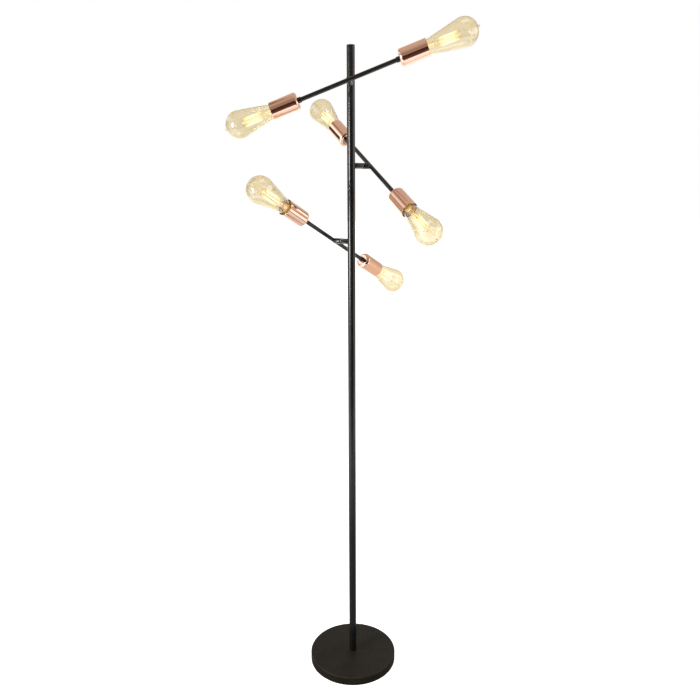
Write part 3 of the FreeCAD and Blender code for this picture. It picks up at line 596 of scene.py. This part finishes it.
class Finish(Nodes):
    """A material built on one Principled shader."""

    def __init__(self, name, **values):
        self.material = bpy.data.materials.new(name)
        self.material.use_nodes = True
        super().__init__(self.material.node_tree)
        self.inputs = self.tree.nodes["Principled BSDF"].inputs
        self.raised = None
        for label, value in values.items():
            self.set(label.replace("_", " ").title().replace("Ior", "IOR"), value)

    def set(self, label, value):
        """Sets or links an input of the shader."""
        self.put(self.inputs[label], value)

    def lapped(self):
        """A place on a turned piece: its share of the way round, and the way along."""
        return self.add("ShaderNodeUVMap", uv_map="turned").outputs["UV"]

    def noise(self, scale, detail, place=None, stretch=None):
        """Soft noise with that many waves in a metre, stretched if asked."""
        place = place or self.add("ShaderNodeTexCoord").outputs["Object"]
        if stretch:
            place = self.add("ShaderNodeVectorMath", place, stretch, operation="MULTIPLY")
        node = self.add("ShaderNodeTexNoise")
        for label, value in (("Vector", place), ("Scale", scale), ("Detail", detail)):
            self.put(node.inputs[label], value)
        return node.outputs["Fac"]

    def between(self, share, low, high, start=0.3, end=0.7):
        """A number that runs from low to high as share goes from start to end."""
        return self.add("ShaderNodeMapRange", share, start, end, low, high).outputs[0]

    def mixed(self, share, first, second):
        """A colour between two, by share."""
        node = self.add("ShaderNodeMix", share, data_type="RGBA")
        self.put(node.inputs[6], first)
        self.put(node.inputs[7], second)
        return node.outputs[2]

    def pattern(self, source):
        """The share that is given, or noise where source is its scale and detail."""
        return self.noise(*source) if isinstance(source, tuple) else source

    def stain(self, source, first, second, start=0.3, end=0.7):
        """Colours the surface from first to second as a pattern goes from start to end."""
        share = self.between(self.pattern(source), 0, 1, start, end)
        self.set("Base Color", self.mixed(share, first, second))

    def dull(self, source, low, high, start=0.3, end=0.7):
        """Runs the roughness from low to high as a pattern goes from start to end."""
        self.set("Roughness", self.between(self.pattern(source), low, high, start, end))

    def grain(self, source, depth, strength):
        """Raises the surface by a pattern, millimetres deep, on top of what raises it."""
        node = self.add("ShaderNodeBump")
        for label, value in (("Strength", strength), ("Distance", depth * MM),
                             ("Height", self.pattern(source)), ("Normal", self.raised)):
            self.put(node.inputs[label], value)
        self.raised = node
        self.set("Normal", node)


def shade(colour, factor):
    """The colour made lighter or darker."""
    return tuple(min(channel * factor, 1) for channel in colour)


def satin_paint(colours):
    """Satin black powder coat: fine orange peel, faint dust and worn spots."""
    made = Finish("satin_black_paint", specular_ior_level=0.5)
    black = colours.pole_black
    made.stain((55, 5), black, shade(black, 1.9), start=0.45, end=0.8)
    made.dull(made.noise(260, 4, stretch=(1, 1, 0.25)), low=0.16, high=0.25)
    made.grain((1400, 2), depth=0.02, strength=0.14)
    made.grain((4200, 1), depth=0.006, strength=0.1)
    return made.material


def matt_paint(colours, edge, reach):
    """Matt brown-black powder coat: fine grain, handling marks, and an upper edge lightened by
    wear and a painted highlight.
    """
    made = Finish("matt_brown_black_paint", specular_ior_level=0.14)
    brown = colours.base_brown
    worn = made.between(made.noise(14, 6), 0, 1, start=0.35, end=0.75)
    marks = made.mixed(worn, shade(brown, 0.85), shade(brown, 1.45))
    # The upper edge is lighter: partly worn paint, partly a painted highlight.
    along = made.add("ShaderNodeSeparateXYZ", made.lapped()).outputs["Y"]
    away = made.math("ABSOLUTE", made.math("SUBTRACT", along, edge))
    edge_wear_and_highlight = made.product(made.between(away, 1, 0, start=0, end=reach),
                          made.between(made.noise(45, 4), low=0.35, high=1))
    made.set("Base Color", made.mixed(edge_wear_and_highlight, marks, shade(brown, 3.2)))
    made.dull((120, 4), low=0.5, high=0.66)
    made.grain((1900, 2), depth=0.05, strength=0.55)
    made.grain((5200, 1), depth=0.015, strength=0.4)
    return made.material


def copper_plate(colours):
    """Polished copper plating: fine spinning lines round the cup, smears and tarnish."""
    made = Finish("polished_copper_plate", metallic=1.0)
    copper = colours.copper
    tarnished = [channel * share for channel, share in zip(copper, (0.9, 0.88, 0.84))]
    made.stain((38, 5), copper, tarnished, start=0.5, end=0.85)
    made.dull((95, 4), low=0.06, high=0.13, start=0.35, end=0.8)
    lines = made.noise(1.0, 2, place=made.lapped(), stretch=(1.5, 2600.0, 1.0))
    made.grain(lines, depth=0.002, strength=0.35)
    made.grain((160, 1), depth=0.02, strength=0.12)
    return made.material


def rolled_brass(colours):
    """Plain brass of caps, shells and contacts, a little stained."""
    made = Finish("rolled_brass", metallic=1.0)
    brass = colours.brass
    made.stain((240, 5), brass, shade(brass, 0.72), start=0.4, end=0.75)
    made.dull((600, 3), low=0.18, high=0.34)
    made.grain((2400, 2), depth=0.01, strength=0.3)
    return made.material


def amber_glass(colours):
    """Thin amber glass: deeper where it is seen edge on, drawn waves and a trace of dust."""
    made = Finish("amber_glass", transmission_weight=1.0, ior=1.46, coat_weight=1.0,
                  coat_roughness=0.02)
    amber = colours.amber
    pale = [0.5 * channel + 0.5 for channel in amber]
    edge = made.add("ShaderNodeLayerWeight", 0.5).outputs["Facing"]
    clouds = made.product(made.noise(22, 3), 0.25)
    made.stain(made.math("ADD", edge, clouds), pale, amber, start=0.35, end=1.0)
    made.dull((900, 4), low=0.0, high=0.045, start=0.55, end=0.8)
    made.grain((34, 2), depth=0.25, strength=0.10)
    return made.material


def mount_glass(colours):
    """Clear glass of the filament's mount, with the ripples of the pressed stem and a faint
    painted glow.
    """
    # The faint emission is a painted glow from the filament.
    made = Finish("mount_glass", base_color=colours.mount_glass, transmission_weight=1.0,
                  ior=1.5, emission_color=colours.glow, emission_strength=0.2)
    made.dull((400, 3), low=0.02, high=0.10)
    made.grain((260, 2), depth=0.15, strength=0.4)
    return made.material


def support_wire(colours):
    """Hooks and lead-in wires: drawn wire, scaled by heat, with a faint painted glow from the
    filament.
    """
    # The faint emission is a painted glow from the filament.
    made = Finish("support_wire", metallic=1.0, emission_color=colours.glow,
                  emission_strength=0.15)
    made.stain((700, 3), (0.85, 0.66, 0.36), (0.55, 0.38, 0.20))
    made.dull((1500, 2), low=0.25, high=0.45)
    made.grain((5000, 1), depth=0.01, strength=0.3)
    return made.material


def glowing_filament(colours, strength):
    """Lit filament: hottest at the middle of each leg and duller at the hooks."""
    made = Finish("glowing_filament", base_color=(0.12, 0.09, 0.05), roughness=0.6)
    share = made.add("ShaderNodeAttribute", attribute_name="leg_share").outputs["Fac"]
    away = made.math("ABSOLUTE", made.math("SUBTRACT", share, 0.5))
    heat = made.between(away, low=strength, high=strength * 0.12, start=0.2, end=0.5)
    flicker = made.between(made.noise(300, 2), low=0.85, high=1.15)
    glow = colours.glow
    white_hot = [0.3 + channel * 0.7 for channel in glow]
    made.set("Emission Color",
             made.mixed(made.between(away, 1, 0, start=0.1, end=0.4), glow, white_hot))
    made.set("Emission Strength", made.product(heat, flicker))
    return made.material


def moulded_plastic(name, colour, low, high):
    """Moulded plastic or wire cover: flow marks and a fine tooled grain."""
    made = Finish(name, specular_ior_level=0.5)
    made.stain((60, 4), shade(colour, 0.85), shade(colour, 1.25))
    made.dull((500, 3), low, high)
    made.grain((2600, 2), depth=0.015, strength=0.4)
    return made.material


def plated_steel():
    """Zinc-plated steel with faint spangle and machining marks."""
    made = Finish("zinc_plated_steel", metallic=1.0)
    spangle = made.add("ShaderNodeTexVoronoi", made.add("ShaderNodeTexCoord").outputs["Object"])
    made.put(spangle.inputs["Scale"], 420)
    made.stain(spangle.outputs["Distance"], (0.60, 0.60, 0.58), (0.72, 0.71, 0.67),
               start=0, end=0.8)
    made.dull((700, 3), low=0.25, high=0.4)
    made.grain((3000, 1), depth=0.01, strength=0.3)
    return made.material


def cast_iron():
    """Sand-cast iron: coarse skin with darker pits."""
    made = Finish("cast_iron", metallic=0.7)
    skin = made.noise(320, 6)
    made.stain(skin, (0.055, 0.05, 0.047), (0.14, 0.13, 0.12))
    made.dull(skin, low=0.75, high=0.55)
    made.grain(skin, depth=0.3, strength=0.6)
    return made.material


# ---------------------------------------------------------------- operators


class LampOperator(bpy.types.Operator):
    """What every step of the lamp shares."""

    bl_options = {"REGISTER", "UNDO"}

    def execute(self, context):
        self.make(context.scene.tree_lamp_sizes, context.scene.tree_lamp_colours)
        return {"FINISHED"}


class TREELAMP_OT_base(LampOperator):
    """Makes the base's cover, its pad and the cord's gland"""

    bl_idname = "tree_lamp.base"
    bl_label = "Base"

    def make(self, sizes, colours):
        cover, pad = on_pole("base_cover"), on_pole("base_pad")
        wall, tiny, bend = sizes.cover_wall, sizes.edge_round, sizes.base_round
        outline = braced(rounded([
            (cover.start, cover.outer, tiny),
            (cover.end, cover.outer, bend),
            (cover.end, cover.inner, tiny),
            (cover.end - wall, cover.inner, 0),
            (cover.end - wall, cover.outer - wall, bend - wall),
            (cover.start, cover.outer - wall, 0)], steps=8))
        paint = matt_paint(colours, edge=cover.end - cover.start - 0.2 * bend, reach=bend)
        piece = turned("base_cover_painted", outline, [UPRIGHT], paint, 192)
        hand_over(piece, "stand", "base_paint", "base_cover")

        rubber = moulded_plastic("soft_rubber", (0.02, 0.02, 0.02), 0.6, 0.8)
        outline = braced(rounded([(pad.start, 0, 0), (pad.start, pad.outer, tiny),
                                  (pad.end, pad.outer, tiny), (pad.end, 0, 0)]))
        piece = turned("base_pad_rubber", outline, [UPRIGHT], rubber, 192)
        hand_over(piece, "stand", "pad", "base_pad")

        piece = smoothed("cord_gland", "cord_gland_rubber", rubber)
        hand_over(piece, "stand", "gland_rubber", "cord_gland")


class TREELAMP_OT_pole(LampOperator):
    """Makes the pole's three tubes and its cap"""

    bl_idname = "tree_lamp.pole"
    bl_label = "Pole"

    def make(self, sizes, colours):
        black = satin_paint(colours)
        for node in ("pole_lower", "pole_middle", "pole_upper"):
            tube = on_pole(node)
            bore = tube.outer - sizes.pole_wall
            outline = braced(rounded([
                (tube.start, bore, 0), (tube.start, tube.outer, sizes.edge_round),
                (tube.end, tube.outer, sizes.edge_round), (tube.end, bore, 0)]))
            piece = turned(f"{node}_painted", outline, [UPRIGHT], black)
            hand_over(piece, "stand", "pole_paint", node)
        piece = smoothed("pole_cap", "pole_cap_painted", black)
        hand_over(piece, "stand", "pole_paint", "pole_cap")


class TREELAMP_OT_posts(LampOperator):
    """Makes the posts, the hubs that turn on them and the arms' tubes and collars"""

    bl_idname = "tree_lamp.posts"
    bl_label = "Posts and Arms"

    def make(self, sizes, colours):
        black = bpy.data.materials["satin_black_paint"]
        tube, collar = on_arm("arm_tube"), on_arm("arm_collars")
        bore = tube.outer - sizes.sheet_wall
        tube_outline = braced([(-tube.end, bore), (-tube.end, tube.outer),
                               (tube.end, tube.outer), (tube.end, bore)])
        collar_outline = rounded([
            (collar.start, collar.inner, 0), (collar.start, collar.outer, 2 * sizes.edge_round),
            (collar.end, collar.outer, sizes.edge_round), (collar.end, collar.inner, 0)])
        for arm in ARMS:
            body, post, hub = f"{arm}_arm", f"arm_post_{arm}", f"swivel_hub_{arm}"
            sleeve, collars = f"arm_tube_{arm}", f"arm_collars_{arm}"
            hand_over(smoothed(post, f"{post}_painted", black), "stand", "pole_paint", post)
            hand_over(smoothed(hub, f"{hub}_painted", black), body, "pole_paint", hub)
            piece = turned(f"{sleeve}_painted", tube_outline, [arm_frame(arm)], black)
            hand_over(piece, body, "pole_paint", sleeve)
            piece = turned(f"{collars}_painted", collar_outline, both_ends(arm), black)
            hand_over(piece, body, "pole_paint", collars)


class TREELAMP_OT_cups(LampOperator):
    """Makes the copper cups"""

    bl_idname = "tree_lamp.cups"
    bl_label = "Copper Cups"

    def make(self, sizes, colours):
        cup, wall = on_arm("socket_cups"), sizes.sheet_wall
        outline = braced(rounded([
            (cup.start, cup.inner, 0),
            (cup.start, cup.outer, sizes.cup_round),
            (cup.end, cup.outer, sizes.lip_round),
            (cup.end, cup.outer - wall, sizes.lip_round),
            (cup.start + wall, cup.outer - wall, sizes.cup_round - wall),
            (cup.start + wall, cup.inner, 0)], steps=12))
        copper = copper_plate(colours)
        for arm in ARMS:
            piece = turned(f"socket_cups_{arm}_copper", outline, both_ends(arm), copper, 128)
            hand_over(piece, f"{arm}_arm", "copper_plate", f"socket_cups_{arm}")


class TREELAMP_OT_lampholders(LampOperator):
    """Makes the moulded lampholders inside the cups"""

    bl_idname = "tree_lamp.lampholders"
    bl_label = "Lampholders"

    def make(self, sizes, colours):
        black = moulded_plastic("moulded_black", colours.holder_black, 0.3, 0.45)
        for arm in ARMS:
            node = f"lampholders_{arm}"
            piece = smoothed(node, f"{node}_moulded", black)
            hand_over(piece, f"{arm}_arm", "lampholder_black", node)


class TREELAMP_OT_bulb_glasses(LampOperator):
    """Makes the bulbs' amber glass and the glass mounts inside"""

    bl_idname = "tree_lamp.bulb_glasses"
    bl_label = "Bulb Glasses"

    def make(self, sizes, colours):
        amber, clear = amber_glass(colours), mount_glass(colours)
        outline, mount = self.outline(sizes), self.mount(sizes)
        for arm in ARMS:
            glass, stem = f"bulb_glasses_{arm}", f"bulb_stems_{arm}"
            piece = turned(f"{glass}_amber", outline, both_ends(arm), amber)
            hand_over(piece, f"{arm}_arm", "amber_glass", glass)
            piece = turned(f"{stem}_clear", mount, both_ends(arm), clear, 48)
            hand_over(piece, f"{arm}_arm", "clear_glass", stem)

    def mount(self, sizes):
        """Closed outline of the mount: a hollow trumpet, the press, and a rod with buttons."""
        stem, mouth = on_arm("bulb_stems"), on_arm("socket_cups").end
        press, rod, button = sizes.press_radius, sizes.rod_radius, sizes.button_radius
        wall, soft = sizes.glass_wall, sizes.edge_round
        low, high = mouth + sizes.cage_low, mouth + sizes.cage_high
        flare, root = stem.start + sizes.flare_length, stem.start + sizes.press_length
        rim, throat = stem.start + 1.5 * MM, stem.outer * 0.8
        corners = [(stem.start, stem.outer, 0), (rim, throat, 0), (flare, press, 5 * MM),
                   (root, press, 1 * MM), (root + press, rod, 1 * MM)]
        half, rest = button * 0.5, button * 0.6
        for level in (low, high):
            corners += [(level - rest, rod, soft), (level - half, button, 2 * soft),
                        (level + half, button, 2 * soft), (level + rest, rod, soft)]
        return rounded(corners[:-1] + [
            (high + half, 0, 0), (flare + wall, 0, 0),
            (flare + wall, press - 2 * wall, 1 * MM), (rim, throat - wall, 0),
            (stem.start, stem.outer - wall, 0)])

    def outline(self, sizes):
        """Closed outline of the wall: outside from the neck to the tip and back inside."""
        glass, cap, wall = on_arm("bulb_glasses"), on_arm("bulb_caps"), sizes.glass_wall
        centre = glass.end - sizes.tip_length - glass.outer
        seat, rim = cap.outer - sizes.neck_gap, glass.start + sizes.neck_length
        shoulder, neck = rim + sizes.shoulder, sizes.neck_radius
        ball, inside = [
            self.round_end(centre, shoulder, neck - skin, glass.outer - skin,
                           sizes.tip_radius - skin) for skin in (0, wall)]
        root = ball[-1][0]
        rise = glass.end - root
        angles = [math.pi / 2 * k / TIP_STEPS for k in range(1, TIP_STEPS)]
        tip, hollow = [
            [(root + (rise - skin) * math.sin(a), (sizes.tip_radius - skin) * math.cos(a))
             for a in angles] for skin in (0, wall)]
        bend = sizes.shoulder * 0.5
        far = ball + tip + [(glass.end, 0), (glass.end - wall, 0)] + hollow[::-1] + inside[::-1]
        return rounded([
            (glass.start, seat, 0), (rim, seat, bend), (shoulder, neck, 2 * bend),
            *[(*point, 0) for point in far],
            (shoulder, neck - wall, 2 * bend), (rim, seat - wall, bend),
            (glass.start, seat - wall, 0)])

    def round_end(self, centre, shoulder, neck, radius, last):
        """Points of the ball's arc, from where the neck's taper meets it to a last radius."""
        run = centre - shoulder
        slant = math.asin(radius / math.hypot(run, neck)) - math.atan2(neck, run)
        first, end = -slant, math.acos(last / radius)
        angles = [first + (end - first) * k / BALL_STEPS for k in range(BALL_STEPS + 1)]
        return [(centre + radius * math.sin(a), radius * math.cos(a)) for a in angles]


class TREELAMP_OT_bulb_caps(LampOperator):
    """Makes the bulbs' screw caps and the screw shells with their rolled threads"""

    bl_idname = "tree_lamp.bulb_caps"
    bl_label = "Screw Caps and Shells"

    def make(self, sizes, colours):
        brass, black = rolled_brass(colours), bpy.data.materials["moulded_black"]
        cap, shell, tree = on_arm("bulb_caps"), on_arm("screw_shells"), thread_tree()
        cap_thread = {"Start": cap.end - sizes.screw_length, "End": cap.end,
                      "Radius": cap.outer, "Depth": sizes.thread_depth,
                      "Pitch": sizes.thread_pitch, "Wall": -sizes.cap_wall}
        shell_thread = {"Start": shell.start + sizes.shell_foot, "End": shell.end,
                        "Radius": shell.outer, "Depth": sizes.thread_depth * 0.3,
                        "Pitch": sizes.thread_pitch, "Wall": -sizes.shell_wall}
        lip = rounded(cornered(SHELL_LIP, shell.end, shell.outer))
        bottom = rounded([
            (shell.start, shell.inner, 0), *cornered(SHELL_DISH, shell.start, shell.outer),
            (shell.start + DISH_SHEET, shell.inner, 0)])
        contact = rounded(cornered(CAP_CONTACT, cap.start, 0))
        cone = self.cone(cap, sizes)
        for arm in ARMS:
            body, ends = f"{arm}_arm", both_ends(arm)
            caps, shells = f"bulb_caps_{arm}", f"screw_shells_{arm}"
            made = [
                (grown(f"{caps}_thread", tree, cap_thread, ends, brass), caps),
                (turned(f"{caps}_contact", contact, ends, brass, 48), caps),
                (grown(f"{shells}_thread", tree, shell_thread, ends, brass), shells),
                (turned(f"{shells}_bottom", bottom, ends, brass, 64), shells),
                (turned(f"{shells}_lip", lip, ends, brass), shells)]
            for piece, node in made:
                hand_over(piece, body, "brass", node)
            piece = turned(f"{caps}_cone", cone, ends, black, 64)
            hand_over(piece, body, "lampholder_black", caps)

    def cone(self, cap, sizes):
        """Closed outline of the moulded cone between a cap's thread and its contact."""
        neck = cap.end - sizes.screw_length
        return rounded([(neck, 0, 0), (neck, cap.outer - 0.2 * MM, 0.2 * MM),
                        *cornered([(-4.5, 10, 1)], neck, 0),
                        *cornered([(1, 5, 0.5), (1, 0, 0)], cap.start, 0)])


class TREELAMP_OT_filaments(LampOperator):
    """Makes the filament cages with their hooks and lead-in wires"""

    bl_idname = "tree_lamp.filaments"
    bl_label = "Filaments"

    def make(self, sizes, colours):
        glow = glowing_filament(colours, bpy.context.scene.tree_lamp_stage.filament_light)
        plain, tree = support_wire(colours), filament_tree()
        mouth = on_arm("socket_cups").end
        low, high = mouth + sizes.cage_low, mouth + sizes.cage_high
        cage = {"Legs": sizes.cage_legs, "Cage radius": sizes.cage_radius, "Low": low,
                "High": high, "Gap": sizes.cage_gap, "Coil radius": sizes.coil_radius,
                "Coil pitch": sizes.coil_pitch, "Wire radius": sizes.coil_wire}
        wires = self.hooks(sizes, low, high) + self.lead_ins(sizes, low)
        for arm in ARMS:
            node = f"bulb_filaments_{arm}"
            piece = grown(f"{node}_coil", tree, cage, both_ends(arm), glow)
            hand_over(piece, f"{arm}_arm", "filament", node)
            piece = drawn(f"{node}_wires", wires, sizes.hook_wire, both_ends(arm), plain)
            hand_over(piece, f"{arm}_arm", "filament", node)

    def leg_angle(self, sizes, leg):
        """Angle of a leg of the cage round the stem."""
        first = sizes.cage_gap / 2
        return first + leg * (2 * math.pi - 2 * first) / (sizes.cage_legs - 1)

    def hooks(self, sizes, low, high):
        """Hooks from the two glass buttons to the filament's bends."""
        half = self.leg_angle(sizes, 0.5) - self.leg_angle(sizes, 0)
        reach, curl = sizes.cage_radius * math.cos(half), sizes.coil_radius * 2
        root = sizes.button_radius - 0.2 * MM
        routes = []
        for leg in range(sizes.cage_legs - 1):
            angle = self.leg_angle(sizes, leg + 0.5)
            level, over = (high, curl) if leg % 2 == 0 else (low, -curl)
            routes.append([around(level, root, angle), around(level, reach - curl, angle),
                           around(level + over * 0.5, reach + curl * 0.3, angle),
                           around(level + over * 1.4, reach - curl * 0.2, angle)])
        return routes

    def lead_ins(self, sizes, low):
        """Wires from the glass mount to the first and the last leg."""
        root, press = on_arm("bulb_stems").start + sizes.lead_root, sizes.press_radius
        return [[around(root, press - 0.8 * MM, angle),
                 around(root + 4 * MM, press + 0.8 * MM, angle),
                 around(low, sizes.cage_radius, angle)]
                for angle in (self.leg_angle(sizes, 0),
                              self.leg_angle(sizes, sizes.cage_legs - 1))]


class TREELAMP_OT_inner_finishes(LampOperator):
    """Gives the hidden CAD pieces their finishes"""

    bl_idname = "tree_lamp.inner_finishes"
    bl_label = "Inner Pieces"

    def make(self, sizes, colours):
        steel, brass = plated_steel(), bpy.data.materials["rolled_brass"]
        cover = moulded_plastic("wire_cover", (0.03, 0.03, 0.03), 0.4, 0.55)
        slippery = moulded_plastic("washer_plastic", (0.6, 0.58, 0.52), 0.35, 0.5)
        finishes = {"base_weight": cast_iron(), "base_nipple": steel, "base_washer": steel,
                    "base_nut": steel, "pole_foot_bush": steel, "pole_couplers": steel,
                    "pole_lead": cover, "swivel_washers": slippery}
        for arm in ARMS:
            finishes[f"swivel_screw_{arm}"] = steel
            finishes[f"arm_lead_{arm}"] = cover
            finishes[f"contact_springs_{arm}"] = brass
        for node, finish in finishes.items():
            mesh = frame["nodes"][node].data
            mesh.materials.clear()
            mesh.materials.append(finish)


class TREELAMP_OT_stage(LampOperator):
    """Makes the floor, the lights, the camera and the pale surroundings"""

    bl_idname = "tree_lamp.stage"
    bl_label = "Stage"

    def make(self, sizes, colours):
        scene = bpy.context.scene
        self.camera(scene, scene.tree_lamp_stage)
        self.floor()
        self.surroundings(scene, scene.tree_lamp_stage)
        for box in SOFT_BOXES:
            self.soft_box(*box)
        for card in CARDS:
            self.card(*card)
        scene.view_settings.view_transform = "Standard"

    def camera(self, scene, stage):
        """The photograph's point of view."""
        data = bpy.data.cameras.new("camera")
        data.lens = stage.focal_length
        data.sensor_width = 36
        data.clip_end = 100
        look = Matrix.Rotation(math.pi / 2 - stage.camera_dip, 4, "X")
        roll = Matrix.Rotation(stage.camera_roll, 4, "Z")
        scene.camera = placed("camera", data)
        scene.camera.matrix_world = Matrix.Translation(stage.camera_place) @ look @ roll

    def floor(self):
        """White floor that is pure white to the eye except in the lamp's shadow, with painted
        shade near the lamp where reflections see it.
        """
        made = Finish("white_floor", roughness=0.9, emission_color=(1, 1, 1))
        seen = made.add("ShaderNodeLightPath").outputs
        # Painted shade: up to this distance, reflections see the floor darkened near the lamp.
        near, far = 0.8, 2.1  # the lamp's reflections darken the floor up to here
        open_floor = made.between(seen["Ray Length"], low=0.1, high=1.0, start=near, end=far)
        rays = made.either(seen["Is Camera Ray"],
                           made.product(seen["Is Glossy Ray"], open_floor),
                           seen["Is Transmission Ray"])
        made.set("Emission Strength", rays)
        # Painted shade: the floor's colour, as reflections see it, darkens near the lamp.
        painted_floor_shade = made.product(seen["Is Glossy Ray"], made.math("SUBTRACT", 1.0, open_floor))
        made.set("Base Color", made.mixed(painted_floor_shade, (0.8, 0.8, 0.8), (0.12, 0.12, 0.12)))
        self.flat("floor", (-FLOOR_REACH, -FLOOR_REACH, 0), (FLOOR_REACH, FLOOR_REACH, 0), made)

    def surroundings(self, scene, stage):
        """Even light on the lamp, and white to the eye, to metal and through glass."""
        world = bpy.data.worlds.new("surroundings")
        world.use_nodes = True
        scene.world = world
        nodes = Nodes(world.node_tree)
        world.node_tree.nodes.clear()
        seen = nodes.add("ShaderNodeLightPath").outputs
        rays = nodes.either(seen["Is Camera Ray"], seen["Is Glossy Ray"],
                            seen["Is Transmission Ray"])
        light = nodes.add("ShaderNodeBackground", (1, 1, 1, 1), stage.room_light)
        white = nodes.add("ShaderNodeBackground", (1, 1, 1, 1), 1.0)
        nodes.add("ShaderNodeOutputWorld", nodes.add("ShaderNodeMixShader", rays, light, white))

    def soft_box(self, name, place, width, height, power):
        """A plain soft light that faces the pole."""
        data = bpy.data.lights.new(name, "AREA")
        data.shape = "RECTANGLE"
        data.size, data.size_y = width, height
        data.energy = power
        box = placed(name, data)
        box.location = place
        away = Vector(place) - Vector((0, 0, LIT_HEIGHT))
        box.rotation_euler = away.to_track_quat("Z", "Y").to_euler()

    def card(self, name, low, high, near_tone, far_tone=None):
        """A flat card that only reflections see, plain or shaded from edge to edge."""
        made = Finish(name, base_color=(0, 0, 0), roughness=1.0, specular_ior_level=0.0,
                      emission_color=near_tone, emission_strength=1.0)
        card = self.flat(name, low, high, made)
        if far_tone:
            tone = card.data.color_attributes.new("tone", "FLOAT_COLOR", "POINT")
            for spot, colour in zip(tone.data, (near_tone, near_tone, far_tone, far_tone)):
                spot.color = (*colour, 1)
            made.set("Emission Color",
                     made.add("ShaderNodeAttribute", attribute_name="tone").outputs["Color"])
        for sight in ("camera", "diffuse", "transmission", "shadow"):
            setattr(card, f"visible_{sight}", False)

    def flat(self, name, low, high, made):
        """A rectangle of the stage between two opposite corners, its near edge first."""
        near, far = (low, high) if low[2] == high[2] else (high, low)
        corners = [low, (high[0], near[1], low[2]), high, (low[0], far[1], high[2])]
        mesh = bpy.data.meshes.new(name)
        mesh.from_pydata(corners, [], [(0, 1, 2, 3)])
        mesh.materials.append(made.material)
        sheet = placed(name, mesh)
        return sheet


class TREELAMP_PT_panel(bpy.types.Panel):
    """Lists the lamp's steps in the sidebar"""

    bl_label = "Tree Lamp"
    bl_idname = "TREELAMP_PT_panel"
    bl_space_type = "VIEW_3D"
    bl_region_type = "UI"
    bl_category = "Tree Lamp"

    def draw(self, context):
        for step in STEPS:
            self.layout.operator(step.bl_idname)
        for group in (getattr(context.scene, name) for name in SETTINGS):
            for name in group.bl_rna.properties.keys():
                if name not in ("rna_type", "name"):
                    self.layout.prop(group, name)


SETTINGS = {"tree_lamp_sizes": TreeLampSizes, "tree_lamp_colours": TreeLampColours,
            "tree_lamp_stage": TreeLampStage}
STEPS = (TREELAMP_OT_base, TREELAMP_OT_pole, TREELAMP_OT_posts, TREELAMP_OT_cups,
         TREELAMP_OT_lampholders, TREELAMP_OT_bulb_glasses, TREELAMP_OT_bulb_caps,
         TREELAMP_OT_filaments, TREELAMP_OT_inner_finishes, TREELAMP_OT_stage)
CLASSES = (*SETTINGS.values(), *STEPS, TREELAMP_PT_panel)


def register():
    """Adds the settings, the steps and the panel."""
    for item in CLASSES:
        bpy.utils.register_class(item)
    for name, group in SETTINGS.items():
        setattr(bpy.types.Scene, name, PointerProperty(type=group))


def unregister():
    """Takes them away again."""
    for name in SETTINGS:
        delattr(bpy.types.Scene, name)
    for item in reversed(CLASSES):
        bpy.utils.unregister_class(item)


def main():
    """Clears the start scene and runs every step."""
    for item in list(bpy.context.scene.objects):
        if item.type in {"LIGHT", "CAMERA"} or item.name == "Cube":
            bpy.data.objects.remove(item)
    register()
    for step in STEPS:
        group, action = step.bl_idname.split(".")
        getattr(getattr(bpy.ops, group), action)()


if __name__ == "__main__":
    main()
